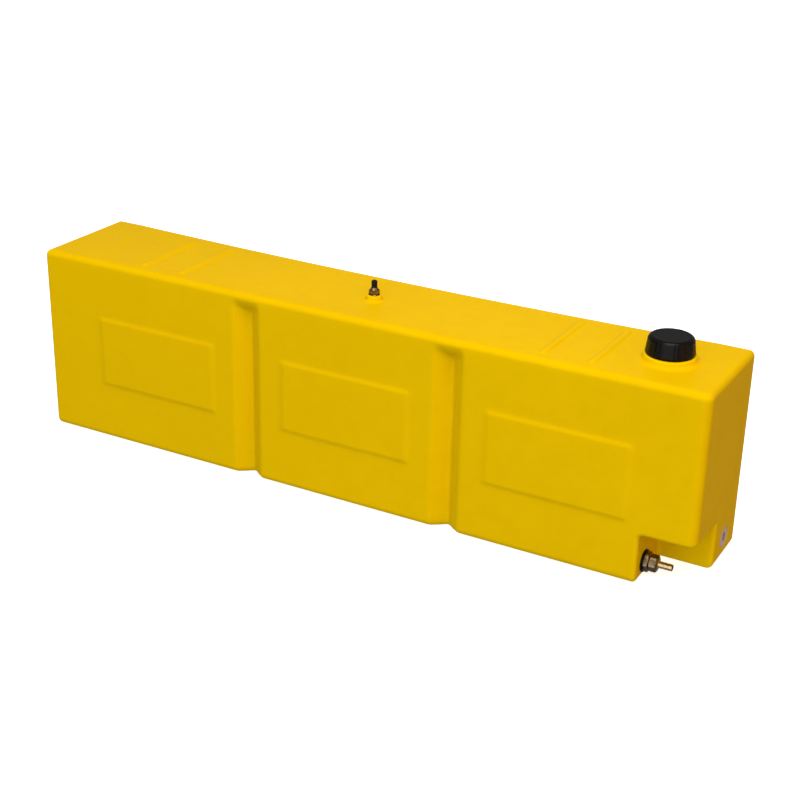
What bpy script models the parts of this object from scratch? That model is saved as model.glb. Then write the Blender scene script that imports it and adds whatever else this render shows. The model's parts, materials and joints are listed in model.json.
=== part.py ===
"""A fresh water tank for a food truck: a rotomoulded shell with its filler, breather and outlet fittings.

Metres, +Z up. The origin is on the underside, in the middle of the tank's length and depth. +X runs along
the tank to the filler and the outlet, and -Y is the front, the side with the pads and the two flutes.
"""

import math

import bmesh
import bpy
from mathutils import Matrix, Vector

# ---- driving dimensions ----------------------------------------------------------------------------

LENGTH = 1.100
DEPTH = 0.193
HEIGHT = 0.3025
WALL = 0.005
GAP = 0.0003  # between two pieces that touch
REACH = 0.010  # how far a cutter runs past what it cuts
FAR_REACH = 3 * REACH
LAP = 0.002  # how far a shape runs into the one that it joins
END_CLEARANCE = 0.001  # past the end of a screwed-in stem

# ---- the shell's outer form ------------------------------------------------------------------------

PAD_PROUD = 0.0018
FRONT = PAD_PROUD - DEPTH / 2
BACK = DEPTH / 2
EDGE_RADIUS = 0.010
LAND_START = 0.500  # past this distance from the middle, the back and the top are flat
BACK_BOW = 0.006  # moulding shrinkage draws the back in this far at mid-length
TOP_SAG = 0.0035  # and lets the top sink this far, at its rear edge
FRONT_SAG_SHARE = 0.4  # of the sag, which the front top edge keeps
BOW_STEPS = 10

MIDDLE_X = 0.0022  # of the row of pads and flutes, a little towards the outlet
FLUTE_XS = (MIDDLE_X - 0.1699, MIDDLE_X + 0.1699)
FLUTE_HALF_WIDTH = 0.0358
FLUTE_DEPTH = 0.0155
FLUTE_FLANK_RADIUS = 0.041
FLUTE_TOP = 0.2844
FLANK_STEPS = 6

PAD_XS = (MIDDLE_X - 0.3390, MIDDLE_X, MIDDLE_X + 0.3390)
PAD_WIDTH = 0.2155
PAD_LOW = 0.0955
PAD_HIGH = 0.2070
PAD_ROOT = 0.003  # how far a pad reaches into the wall behind it
PAD_EDGE = 0.9 * PAD_PROUD

RIB_XS = (-0.3715, -0.3015, 0.3030, 0.3740)
RIB_Y = -0.003
RIB_LENGTH = 0.143
RIB_RADIUS = 0.0065
RIB_PROUD = 0.003
RIB_SIDES = 16

NOTCH_LEFT = 0.4700
NOTCH_BACK = -0.0015
NOTCH_CEILING = 0.0765
NOTCH_CORNER = 0.006

# ---- filler ----------------------------------------------------------------------------------------

FILLER = Vector((0.460, -0.004, 0.0))
FILLER_BOSS_RADIUS = 0.0367
FILLER_BOSS_TOP = HEIGHT + 0.0095
NECK_BORE = 0.025
NECK_THREAD_ROOT = 0.0285
NECK_THREAD_CREST = 0.0300
NECK_FLANGE_RADIUS = 0.033
NECK_FLANGE_THICKNESS = 0.0012
NECK_COLLAR_RADIUS = 0.031
NECK_COLLAR_LOW = HEIGHT - 0.0005
NECK_COLLAR_HIGH = HEIGHT + 0.0030
NECK_FOOT = HEIGHT - 0.0055
NECK_RIM = HEIGHT + 0.0289

THREAD_PITCH = 0.006
THREAD_ROOT_WIDTH = 0.0026
THREAD_CREST_WIDTH = 0.0015
THREAD_TURNS = 1.4
THREAD_LOW = HEIGHT + 0.0160
THREAD_ROOTED = 0.0006  # how far a thread reaches into the wall that carries it
THREAD_STEPS = 24  # for each turn

CAP_RIM = HEIGHT + 0.0116
CAP_TOP = HEIGHT + 0.0352
CAP_RIM_RADIUS = 0.0343
CAP_SHOULDER_RADIUS = 0.0323
CAP_SHOULDER_FALL = 0.0062
CAP_FLAT_RADIUS = 0.0264
CAP_BORE = 0.0305
CAP_THREAD_CREST = 0.0291
CAP_CEILING = HEIGHT + 0.0316
CAP_SHOULDER_STEPS = 6
FLUTES_ON_CAP = 18
CAP_FLUTE_RADIUS = 0.0026
CAP_FLUTE_DEPTH = 0.0007
CAP_FLUTE_SIDES = 8

GASKET_RADIUS = 0.0296
GASKET_LOW = NECK_RIM + GAP
GASKET_HIGH = CAP_CEILING - GAP

# ---- breather --------------------------------------------------------------------------------------

BREATHER = Vector((0.0046, -0.0107, 0.0))
BREATHER_BOSS_RADIUS = 0.0118
BREATHER_BOSS_TOP = HEIGHT + 0.0066
BREATHER_BORE = 0.0016
BREATHER_INSERT_RADIUS = 0.0065
BREATHER_COLLAR_RADIUS = 0.0080
BREATHER_COLLAR_LOW = HEIGHT - 0.0005
BREATHER_COLLAR_HIGH = HEIGHT + 0.0025
BREATHER_INSERT_FOOT = HEIGHT - 0.0065
BREATHER_STEM_FOOT = HEIGHT - 0.0040
BREATHER_FLANGE_RADIUS = 0.0086
BREATHER_HEX_LOW = HEIGHT + 0.0083
BREATHER_HEX_HIGH = HEIGHT + 0.0145
BREATHER_HEX_ACROSS = 0.014
BREATHER_CONE_TOP = HEIGHT + 0.0180
BREATHER_CONE_FOOT_RADIUS = 0.0066
BREATHER_CONE_TOP_RADIUS = 0.0046
BREATHER_BARB_TOP = HEIGHT + 0.0270
BREATHER_BARB_RADIUS = 0.0034
BREATHER_BARB_STEP = 0.0004
BREATHER_BARBS = 2
BREATHER_STEM_RADIUS = 0.0043
BREATHER_CAP_RADIUS = 0.0045
BREATHER_CAP_CROWN = 0.0030
BREATHER_CAP_TOP = HEIGHT + 0.0292

# ---- outlet, along +X from the notch's left wall ---------------------------------------------------

OUTLET = Vector((NOTCH_LEFT, -0.0613, 0.0228))
OUTLET_THREAD_RADIUS = 0.0105
OUTLET_INSERT_RADIUS = 0.0135
OUTLET_COLLAR_RADIUS = 0.0155
OUTLET_COLLAR_START = 0.0045
OUTLET_COLLAR_END = 0.0090
OUTLET_INSERT_LENGTH = 0.0140
OUTLET_BOSS_RADIUS = 0.0175
WASHER_RADIUS = 0.0165
WASHER_THICKNESS = 0.0022
BUSH_HEX_ACROSS = 0.026
BUSH_HEX_END = 0.0100
BUSH_BORE = 0.0050
BUSH_SOCKET_RADIUS = 0.0068
BUSH_SOCKET_DEPTH = 0.0120
TAIL_HEX_ACROSS = 0.022
TAIL_HEX_END = 0.0210
TAIL_END = 0.0420
TAIL_RADIUS = 0.0051
TAIL_BORE = 0.0035
TAIL_BARBS = 3
BARB_STEP = 0.0006
BARB_RISE = 0.80  # share of a barb's length over which it rises
BARB_FALL = 0.05  # and over which it drops back

# ---- round label -----------------------------------------------------------------------------------

LABEL_Y = 0.0438
LABEL_Z = 0.0330
LABEL_RADIUS = 0.0156
LABEL_THICKNESS = 0.0007

ROUND_STEPS = 36
BOSS_STEPS = 32  # not the bore's count, so that no two seams fall on one line
SMALL_ROUND_STEPS = 20
AXIS_MERGE = 0.00001
SHARP_ANGLE = math.radians(35)


# ---- tools -----------------------------------------------------------------------------------------


def clear_scene():
    for obj in list(bpy.data.objects):
        bpy.data.objects.remove(obj, do_unlink=True)


def new_collection(name):
    collection = bpy.data.collections.new(name)
    bpy.context.scene.collection.children.link(collection)
    return collection


def new_material(name, colour, roughness, metallic=0.0):
    material = bpy.data.materials.new(name)
    material.use_nodes = True
    shader = material.node_tree.nodes["Principled BSDF"]
    shader.inputs["Base Color"].default_value = (*colour, 1.0)
    shader.inputs["Roughness"].default_value = roughness
    shader.inputs["Metallic"].default_value = metallic
    return material


def place(obj, collection):
    """Moves an object that an operator made into this collection."""
    for held in list(obj.users_collection):
        held.objects.unlink(obj)
    collection.objects.link(obj)
    return obj


def as_cutter(obj):
    place(obj, CUTTERS)
    obj.hide_render = True
    obj.display_type = "WIRE"
    return obj


def as_part(obj, material):
    place(obj, PARTS)
    obj.data.materials.clear()
    obj.data.materials.append(material)
    obj.data.shade_smooth()
    obj.data.set_sharp_from_angle(angle=SHARP_ANGLE)
    return obj


def boolean(obj, tool, operation):
    modifier = obj.modifiers.new(f"{operation.lower()}_{tool.name}", "BOOLEAN")
    modifier.operation = operation
    modifier.object = tool


def cut(obj, *tools):
    for tool in tools:
        boolean(obj, tool, "DIFFERENCE")


def join(obj, *tools):
    for tool in tools:
        boolean(obj, tool, "UNION")


def bevel(obj, width, segments, angle=math.radians(40)):
    modifier = obj.modifiers.new("rounded_edges", "BEVEL")
    modifier.width = width
    modifier.segments = segments
    modifier.limit_method = "ANGLE"
    modifier.angle_limit = angle


def block(name, low, high):
    """A box between two corners, with its origin in its middle."""
    low = Vector(low)
    high = Vector(high)
    bpy.ops.mesh.primitive_cube_add(size=1.0, location=(low + high) / 2)
    obj = bpy.context.object
    obj.name = name
    obj.data.transform(Matrix.Diagonal((*(high - low), 1.0)))
    return obj


def point_along_x(obj):
    """Turns a piece that was made along +Z to lie along +X."""
    obj.rotation_euler = (0.0, math.pi / 2, 0.0)
    return obj


def cylinder(name, radius, low, high, at, sides):
    """A round bar along +Z between two heights above the point `at`."""
    centre = at + Vector((0.0, 0.0, (low + high) / 2))
    bpy.ops.mesh.primitive_cylinder_add(vertices=sides, radius=radius, depth=high - low, location=centre)
    obj = bpy.context.object
    obj.name = name
    obj.data.transform(Matrix.Translation(centre - at))
    obj.location = at
    return obj


def hexagon(name, across_flats, low, high, at):
    return cylinder(name, across_flats / math.sqrt(3), low, high, at, 6)


def turned(name, profile, at, steps=ROUND_STEPS, ring=False):
    """Turns (radius, height) points about +Z. A ring's profile closes on itself, and any other starts
    and ends on the axis. The points run down the outer side."""
    mesh = bpy.data.meshes.new(name)
    edges = [(i, i + 1) for i in range(len(profile) - 1)]
    if ring:
        edges.append((len(profile) - 1, 0))
    mesh.from_pydata([(radius, 0.0, height) for radius, height in profile], edges, [])
    obj = bpy.data.objects.new(name, mesh)
    bpy.context.scene.collection.objects.link(obj)
    obj.location = at
    screw = obj.modifiers.new("turned", "SCREW")
    screw.axis = "Z"
    screw.steps = steps
    screw.render_steps = steps
    screw.use_merge_vertices = True
    screw.merge_threshold = AXIS_MERGE
    screw.use_smooth_shade = True
    return obj


def arc(centre, radius, start, end, steps):
    """Points round an arc, with its angles in degrees from the first axis."""
    angles = [math.radians(start + (end - start) * i / steps) for i in range(steps + 1)]
    return [(centre[0] + radius * math.cos(a), centre[1] + radius * math.sin(a)) for a in angles]


def upright_prism(name, outline, low, high):
    """A flat (x, y) outline, extruded from one height to the other."""
    curve = bpy.data.curves.new(name, "CURVE")
    curve.dimensions = "2D"
    curve.fill_mode = "BOTH"
    curve.extrude = (high - low) / 2
    spline = curve.splines.new("POLY")
    spline.points.add(len(outline) - 1)
    for point, (x, y) in zip(spline.points, outline):
        point.co = (x, y, 0.0, 1.0)
    spline.use_cyclic_u = True
    guide = bpy.data.objects.new(name + "_outline", curve)
    bpy.context.scene.collection.objects.link(guide)
    guide.location.z = (low + high) / 2
    bpy.context.view_layer.update()
    mesh = bpy.data.meshes.new_from_object(guide.evaluated_get(bpy.context.evaluated_depsgraph_get()))
    obj = bpy.data.objects.new(name, mesh)
    obj.matrix_world = guide.matrix_world
    bpy.data.objects.remove(guide, do_unlink=True)
    welded = bmesh.new()
    welded.from_mesh(mesh)
    bmesh.ops.remove_doubles(welded, verts=welded.verts, dist=AXIS_MERGE)
    bmesh.ops.recalc_face_normals(welded, faces=welded.faces)
    welded.to_mesh(mesh)
    welded.free()
    bpy.context.scene.collection.objects.link(obj)
    return obj


def thread(name, wall_radius, crest_radius, low, turns, at):
    """A right-hand trapezoidal thread that stands out of a wall, or into a bore where the crest is the
    smaller radius."""
    outward = 1 if crest_radius > wall_radius else -1
    foot_radius = wall_radius - outward * THREAD_ROOTED
    section = bmesh.new()
    corners = [
        section.verts.new((foot_radius, 0.0, low - THREAD_ROOT_WIDTH / 2)),
        section.verts.new((crest_radius, 0.0, low - THREAD_CREST_WIDTH / 2)),
        section.verts.new((crest_radius, 0.0, low + THREAD_CREST_WIDTH / 2)),
        section.verts.new((foot_radius, 0.0, low + THREAD_ROOT_WIDTH / 2)),
    ]
    section.faces.new(corners)
    steps = round(turns * THREAD_STEPS)
    bmesh.ops.spin(
        section,
        geom=section.verts[:] + section.edges[:] + section.faces[:],
        axis=(0.0, 0.0, 1.0),
        dvec=(0.0, 0.0, THREAD_PITCH / THREAD_STEPS),
        angle=math.tau * steps / THREAD_STEPS,
        steps=steps,
    )
    bmesh.ops.recalc_face_normals(section, faces=section.faces)
    mesh = bpy.data.meshes.new(name)
    section.to_mesh(mesh)
    section.free()
    obj = bpy.data.objects.new(name, mesh)
    bpy.context.scene.collection.objects.link(obj)
    obj.location = at
    return obj


# ---- the shell -------------------------------------------------------------------------------------


def shrinkage(x):
    """1 at mid-length, where moulding shrinkage is greatest, falling to 0 at the end lands."""
    return max(0.0, 1.0 - (x / LAND_START) ** 2)


def top_height(x, y):
    """The outer height of the top wall, which has sunk most at the rear of mid-length."""
    rearward = (y - FRONT) / (BACK - FRONT)
    share = FRONT_SAG_SHARE + (1.0 - FRONT_SAG_SHARE) * rearward
    return HEIGHT - TOP_SAG * share * shrinkage(x)


def tank_block(name, inset):
    """The tank's plain box, inset by a wall thickness, with the drawn-in back and the sunken top."""
    obj = block(
        name,
        (-LENGTH / 2 + inset, FRONT + inset, inset),
        (LENGTH / 2 - inset, BACK - inset, HEIGHT - inset),
    )
    body = bmesh.new()
    body.from_mesh(obj.data)
    for i in range(BOW_STEPS + 1):
        x = LAND_START * (2.0 * i / BOW_STEPS - 1.0)
        everything = body.verts[:] + body.edges[:] + body.faces[:]
        bmesh.ops.bisect_plane(body, geom=everything, plane_co=(x, 0.0, 0.0), plane_no=(1.0, 0.0, 0.0))
    for vertex in body.verts:
        world = vertex.co + obj.location
        if world.z > HEIGHT / 2:
            vertex.co.z = top_height(world.x, world.y) - inset - obj.location.z
        if world.y > 0.0:
            vertex.co.y -= BACK_BOW * shrinkage(world.x)
    body.to_mesh(obj.data)
    body.free()
    bevel(obj, EDGE_RADIUS - inset, 3)
    return obj


def flute_cutter(name, x, offset):
    """The valley of one front flute, grown by an offset: two round flanks, a narrow floor, and a top that
    slopes at 45 degrees."""
    flank_radius = FLUTE_FLANK_RADIUS - offset
    centre_y = FRONT + FLUTE_FLANK_RADIUS
    floor_y = FRONT + FLUTE_DEPTH + offset
    reach = math.degrees(math.acos((centre_y - floor_y) / flank_radius))
    left = arc((x - FLUTE_HALF_WIDTH, centre_y), flank_radius, -90.0, -90.0 + reach, FLANK_STEPS)
    right = arc((x + FLUTE_HALF_WIDTH, centre_y), flank_radius, -90.0 - reach, -90.0, FLANK_STEPS)
    mouth_y = FRONT - REACH
    outline = [(x - FLUTE_HALF_WIDTH, mouth_y)] + left + right + [(x + FLUTE_HALF_WIDTH, mouth_y)]
    top = FLUTE_TOP + offset * math.sqrt(2.0)
    obj = upright_prism(name, outline, -REACH, top)
    for vertex in obj.data.vertices:
        if vertex.co.z > 0.0:
            vertex.co.z -= vertex.co.y - FRONT
    return as_cutter(obj)


def notch_cutter(name, offset):
    """The outlet's recess, out of the bottom front corner, grown by an offset."""
    obj = block(
        name,
        (NOTCH_LEFT - offset, FRONT - REACH, -REACH),
        (LENGTH / 2 + REACH, NOTCH_BACK + offset, NOTCH_CEILING + offset),
    )
    bevel(obj, NOTCH_CORNER, 2)
    return as_cutter(obj)


def cavity():
    """The water space, a wall thickness inside the outer form all over."""
    space = as_cutter(tank_block("water_space", WALL))
    for side, x in zip(("left", "right"), FLUTE_XS):
        cut(space, flute_cutter(f"{side}_flute_inner", x, WALL))
    cut(space, notch_cutter("notch_inner", WALL))
    boss_depth = OUTLET_INSERT_LENGTH
    boss = cylinder("outlet_inner_boss", OUTLET_BOSS_RADIUS, -boss_depth, 0.0, OUTLET, SMALL_ROUND_STEPS)
    cut(space, as_cutter(point_along_x(boss)))
    return space


def pad(name, x):
    low = (x - PAD_WIDTH / 2, -DEPTH / 2, PAD_LOW)
    high = (x + PAD_WIDTH / 2, FRONT + PAD_ROOT, PAD_HIGH)
    obj = block(name, low, high)
    bevel(obj, PAD_EDGE, 2)
    return as_cutter(obj)


def rib(name, x):
    """A half-round rib across the top, one side of a strap's seat."""
    at = Vector((x, RIB_Y, top_height(x, RIB_Y) + RIB_PROUD - RIB_RADIUS))
    obj = cylinder(name, RIB_RADIUS, -RIB_LENGTH / 2, RIB_LENGTH / 2, at, RIB_SIDES)
    obj.rotation_euler = (math.pi / 2, 0.0, 0.0)
    bevel(obj, RIB_PROUD, 1)
    return as_cutter(obj)


def boss(name, radius, top, at):
    """A round boss on the top wall, with a rounded rim and a fillet that dips into the wall at its foot."""
    surface = top_height(at.x, at.y) - 2 * GAP
    root = surface - WALL / 2
    rim = 0.0010
    fillet = 0.0030
    profile = [(0.0, top), (radius - rim, top)]
    profile += arc((radius - rim, top - rim), rim, 90.0, 0.0, 2)[1:]
    profile += arc((radius + fillet, surface + fillet), fillet, 180.0, 270.0, 3)
    profile += [(radius + fillet, root), (0.0, root)]
    return as_cutter(turned(name, profile, at, BOSS_STEPS))


def filler_bore():
    """The hole for the neck, with the pocket that its collar is moulded into."""
    bore = NECK_THREAD_ROOT + GAP
    pocket = NECK_COLLAR_RADIUS + GAP
    profile = [
        (0.0, HEIGHT + FAR_REACH),
        (bore, HEIGHT + FAR_REACH),
        (bore, NECK_COLLAR_HIGH + GAP),
        (pocket, NECK_COLLAR_HIGH + GAP),
        (pocket, NECK_COLLAR_LOW - GAP),
        (bore, NECK_COLLAR_LOW - GAP),
        (bore, HEIGHT - FAR_REACH),
        (0.0, HEIGHT - FAR_REACH),
    ]
    return as_cutter(turned("filler_bore", profile, FILLER))


def breather_bore():
    """The hole for the breather's insert, with a pocket for its collar."""
    bore = BREATHER_INSERT_RADIUS + GAP
    pocket = BREATHER_COLLAR_RADIUS + GAP
    profile = [
        (0.0, HEIGHT + FAR_REACH),
        (bore, HEIGHT + FAR_REACH),
        (bore, BREATHER_COLLAR_HIGH + GAP),
        (pocket, BREATHER_COLLAR_HIGH + GAP),
        (pocket, BREATHER_COLLAR_LOW - GAP),
        (bore, BREATHER_COLLAR_LOW - GAP),
        (bore, HEIGHT - FAR_REACH),
        (0.0, HEIGHT - FAR_REACH),
    ]
    return as_cutter(turned("breather_bore", profile, BREATHER, SMALL_ROUND_STEPS))


def outlet_bore():
    """The hole for the outlet's insert, with a pocket for its collar."""
    bore = OUTLET_INSERT_RADIUS + GAP
    pocket = OUTLET_COLLAR_RADIUS + GAP
    profile = [
        (0.0, REACH),
        (bore, REACH),
        (bore, -OUTLET_COLLAR_START + GAP),
        (pocket, -OUTLET_COLLAR_START + GAP),
        (pocket, -OUTLET_COLLAR_END - GAP),
        (bore, -OUTLET_COLLAR_END - GAP),
        (bore, -FAR_REACH),
        (0.0, -FAR_REACH),
    ]
    return as_cutter(point_along_x(turned("outlet_bore", profile, OUTLET, SMALL_ROUND_STEPS)))


def label_recess():
    """A shallow round seat in the right end, so that the label lies flush."""
    at = Vector((LENGTH / 2, LABEL_Y, LABEL_Z))
    seat = cylinder("label_seat", LABEL_RADIUS + GAP, -LABEL_THICKNESS - 2 * GAP, REACH, at, ROUND_STEPS)
    return as_cutter(point_along_x(seat))


def tank_shell():
    shell = tank_block("tank_shell", 0.0)
    for side, x in zip(("left", "right"), FLUTE_XS):
        cut(shell, flute_cutter(f"{side}_flute", x, 0.0))
    cut(shell, notch_cutter("notch", 0.0))
    for side, x in zip(("left", "middle", "right"), PAD_XS):
        join(shell, pad(f"{side}_pad", x))
    for i, x in enumerate(RIB_XS):
        join(shell, rib(f"top_rib_{i + 1}", x))
    join(shell, boss("filler_boss", FILLER_BOSS_RADIUS, FILLER_BOSS_TOP, FILLER))
    join(shell, boss("breather_boss", BREATHER_BOSS_RADIUS, BREATHER_BOSS_TOP, BREATHER))
    cut(shell, cavity(), filler_bore(), breather_bore(), outlet_bore(), label_recess())
    return as_part(shell, YELLOW)


# ---- filler ----------------------------------------------------------------------------------------


def filler_neck():
    """The threaded neck, moulded into the shell's boss by its collar."""
    seat = FILLER_BOSS_TOP + GAP
    profile = [
        (NECK_BORE, NECK_RIM),
        (NECK_THREAD_ROOT, NECK_RIM),
        (NECK_THREAD_ROOT, seat + NECK_FLANGE_THICKNESS),
        (NECK_FLANGE_RADIUS, seat + NECK_FLANGE_THICKNESS),
        (NECK_FLANGE_RADIUS, seat),
        (NECK_THREAD_ROOT, seat),
        (NECK_THREAD_ROOT, NECK_COLLAR_HIGH),
        (NECK_COLLAR_RADIUS, NECK_COLLAR_HIGH),
        (NECK_COLLAR_RADIUS, NECK_COLLAR_LOW),
        (NECK_THREAD_ROOT, NECK_COLLAR_LOW),
        (NECK_THREAD_ROOT, NECK_FOOT),
        (NECK_BORE, NECK_FOOT),
    ]
    neck = turned("filler_neck", profile, FILLER, ring=True)
    ridge = thread("neck_thread", NECK_THREAD_ROOT, NECK_THREAD_CREST, THREAD_LOW, THREAD_TURNS, FILLER)
    join(neck, as_cutter(ridge))
    return as_part(neck, BLACK_PLASTIC)


def cap_flutes():
    """One cutter for all the grip flutes, which lean in with the cap's taper."""
    height = CAP_TOP - CAP_RIM
    lean = math.atan2(CAP_RIM_RADIUS - CAP_SHOULDER_RADIUS, height - CAP_SHOULDER_FALL)
    middle_radius = (CAP_RIM_RADIUS + CAP_SHOULDER_RADIUS) / 2 + CAP_FLUTE_RADIUS - CAP_FLUTE_DEPTH
    flutes = bmesh.new()
    for i in range(FLUTES_ON_CAP):
        turn = Matrix.Rotation(math.tau * i / FLUTES_ON_CAP, 4, "Z")
        out = Matrix.Translation((middle_radius, 0.0, (CAP_RIM + CAP_TOP - CAP_SHOULDER_FALL) / 2))
        tilt = Matrix.Rotation(-lean, 4, "Y")
        bmesh.ops.create_cone(
            flutes,
            cap_ends=True,
            segments=CAP_FLUTE_SIDES,
            radius1=CAP_FLUTE_RADIUS,
            radius2=CAP_FLUTE_RADIUS,
            depth=2 * height,
            matrix=turn @ out @ tilt,
        )
    mesh = bpy.data.meshes.new("cap_flutes")
    flutes.to_mesh(mesh)
    flutes.free()
    obj = bpy.data.objects.new("cap_flutes", mesh)
    bpy.context.scene.collection.objects.link(obj)
    obj.location = FILLER
    return as_cutter(obj)


def filler_cap():
    """The screw cap, with its origin on the axis that it turns about."""
    shoulder_z = CAP_TOP - CAP_SHOULDER_FALL
    shoulder = [
        (
            CAP_FLAT_RADIUS + (CAP_SHOULDER_RADIUS - CAP_FLAT_RADIUS) * math.sin(angle),
            shoulder_z + CAP_SHOULDER_FALL * math.cos(angle),
        )
        for angle in (math.pi / 2 * i / CAP_SHOULDER_STEPS for i in range(CAP_SHOULDER_STEPS + 1))
    ]
    profile = [(0.0, CAP_TOP)] + shoulder
    profile += [(CAP_RIM_RADIUS, CAP_RIM), (CAP_BORE, CAP_RIM), (CAP_BORE, CAP_CEILING), (0.0, CAP_CEILING)]
    cap = turned("filler_cap", profile, FILLER)
    cut(cap, cap_flutes())
    low = THREAD_LOW + THREAD_PITCH / 2
    ridge = thread("cap_thread", CAP_BORE, CAP_THREAD_CREST, low, THREAD_TURNS, FILLER)
    join(cap, as_cutter(ridge))
    return as_part(cap, BLACK_PLASTIC)


def cap_gasket():
    gasket = cylinder("cap_gasket", GASKET_RADIUS, GASKET_LOW, GASKET_HIGH, FILLER, ROUND_STEPS)
    return as_part(gasket, WHITE_FOAM)


# ---- breather --------------------------------------------------------------------------------------


def breather_insert():
    """The brass bush moulded into the breather's boss, with its flange on top."""
    seat = BREATHER_BOSS_TOP + GAP
    bore = BREATHER_STEM_RADIUS + GAP
    profile = [
        (bore, BREATHER_HEX_LOW - GAP),
        (BREATHER_FLANGE_RADIUS, BREATHER_HEX_LOW - GAP),
        (BREATHER_FLANGE_RADIUS, seat),
        (BREATHER_INSERT_RADIUS, seat),
        (BREATHER_INSERT_RADIUS, BREATHER_COLLAR_HIGH),
        (BREATHER_COLLAR_RADIUS, BREATHER_COLLAR_HIGH),
        (BREATHER_COLLAR_RADIUS, BREATHER_COLLAR_LOW),
        (BREATHER_INSERT_RADIUS, BREATHER_COLLAR_LOW),
        (BREATHER_INSERT_RADIUS, BREATHER_INSERT_FOOT),
        (bore, BREATHER_INSERT_FOOT),
    ]
    return as_part(turned("breather_insert", profile, BREATHER, SMALL_ROUND_STEPS, ring=True), BRASS)


def barbs(start, end, count, radius, step):
    """The outer line of a hose tail, from its free end down: each barb rises from its root to its edge."""
    length = (start - end) / count
    root = radius - step
    line = []
    for i in range(count):
        top = start - i * length
        edge = top - BARB_RISE * length
        line += [(root, top), (radius, edge), (root, edge - BARB_FALL * length)]
    return line


def breather_barb():
    """The breather's hexagon and hose tail, with its stem down in the insert."""
    edge = BREATHER_BARB_RADIUS
    root = edge - BREATHER_BARB_STEP
    tail = barbs(BREATHER_BARB_TOP, BREATHER_CONE_TOP, BREATHER_BARBS, edge, BREATHER_BARB_STEP)
    profile = [(0.0, BREATHER_BARB_TOP)] + tail
    profile += [
        (root, BREATHER_CONE_TOP),
        (BREATHER_CONE_TOP_RADIUS, BREATHER_CONE_TOP),
        (BREATHER_CONE_FOOT_RADIUS, BREATHER_HEX_HIGH - GAP),
        (BREATHER_STEM_RADIUS, BREATHER_HEX_LOW + LAP),
        (BREATHER_STEM_RADIUS, BREATHER_STEM_FOOT),
        (0.0, BREATHER_STEM_FOOT),
    ]
    barb = turned("breather_barb", profile, BREATHER, SMALL_ROUND_STEPS)
    collar = hexagon("breather_hex", BREATHER_HEX_ACROSS, BREATHER_HEX_LOW, BREATHER_HEX_HIGH, BREATHER)
    low = BREATHER_STEM_FOOT - REACH
    high = BREATHER_BARB_TOP + REACH
    drill = cylinder("breather_drill", BREATHER_BORE, low, high, BREATHER, SMALL_ROUND_STEPS)
    join(barb, as_cutter(collar))
    cut(barb, as_cutter(drill))
    return as_part(barb, BRASS)


def breather_cap():
    """The rubber cap over the hose tail, with its origin on the line that it pulls off along."""
    crown = arc((0.0, BREATHER_CAP_TOP - BREATHER_CAP_CROWN), BREATHER_CAP_CROWN, 90.0, 0.0, 4)
    dome = [(radius * BREATHER_CAP_RADIUS / BREATHER_CAP_CROWN, height) for radius, height in crown]
    inner = BREATHER_BARB_RADIUS + GAP
    rim = BREATHER_CONE_TOP + GAP
    profile = dome + [(BREATHER_CAP_RADIUS, rim), (inner, rim)]
    profile += [(inner, BREATHER_BARB_TOP + GAP), (0.0, BREATHER_BARB_TOP + GAP)]
    return as_part(turned("breather_cap", profile, BREATHER, SMALL_ROUND_STEPS), BLACK_RUBBER)


# ---- outlet ----------------------------------------------------------------------------------------


def outlet_insert():
    """The threaded brass bush moulded into the notch's wall."""
    bore = OUTLET_THREAD_RADIUS
    profile = [
        (bore, -GAP),
        (OUTLET_INSERT_RADIUS, -GAP),
        (OUTLET_INSERT_RADIUS, -OUTLET_COLLAR_START),
        (OUTLET_COLLAR_RADIUS, -OUTLET_COLLAR_START),
        (OUTLET_COLLAR_RADIUS, -OUTLET_COLLAR_END),
        (OUTLET_INSERT_RADIUS, -OUTLET_COLLAR_END),
        (OUTLET_INSERT_RADIUS, -OUTLET_INSERT_LENGTH),
        (bore, -OUTLET_INSERT_LENGTH),
    ]
    insert = turned("outlet_insert", profile, OUTLET, SMALL_ROUND_STEPS, ring=True)
    return as_part(point_along_x(insert), BRASS)


def outlet_washer():
    """The sealing washer between the notch's wall and the bush."""
    inner = OUTLET_THREAD_RADIUS + GAP
    profile = [
        (inner, GAP + WASHER_THICKNESS),
        (WASHER_RADIUS, GAP + WASHER_THICKNESS),
        (WASHER_RADIUS, GAP),
        (inner, GAP),
    ]
    washer = turned("outlet_washer", profile, OUTLET, SMALL_ROUND_STEPS, ring=True)
    return as_part(point_along_x(washer), BLACK_RUBBER)


def outlet_bush():
    """The reducing bush: a spigot in the insert, a large hexagon, and a socket for the hose tail."""
    face = WASHER_THICKNESS + 2 * GAP
    spigot = OUTLET_THREAD_RADIUS - GAP
    body = hexagon("outlet_bush", BUSH_HEX_ACROSS, face, BUSH_HEX_END, OUTLET)
    stem_end = END_CLEARANCE - OUTLET_INSERT_LENGTH
    stem = cylinder("bush_spigot", spigot, stem_end, face + LAP, OUTLET, SMALL_ROUND_STEPS)
    socket = [
        (0.0, BUSH_HEX_END + REACH),
        (BUSH_SOCKET_RADIUS, BUSH_HEX_END + REACH),
        (BUSH_SOCKET_RADIUS, BUSH_HEX_END - BUSH_SOCKET_DEPTH),
        (BUSH_BORE, BUSH_HEX_END - BUSH_SOCKET_DEPTH),
        (BUSH_BORE, -FAR_REACH),
        (0.0, -FAR_REACH),
    ]
    drill = turned("bush_drill", socket, OUTLET, SMALL_ROUND_STEPS)
    join(body, as_cutter(point_along_x(stem)))
    cut(body, as_cutter(point_along_x(drill)))
    return as_part(point_along_x(body), BRASS)


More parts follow.
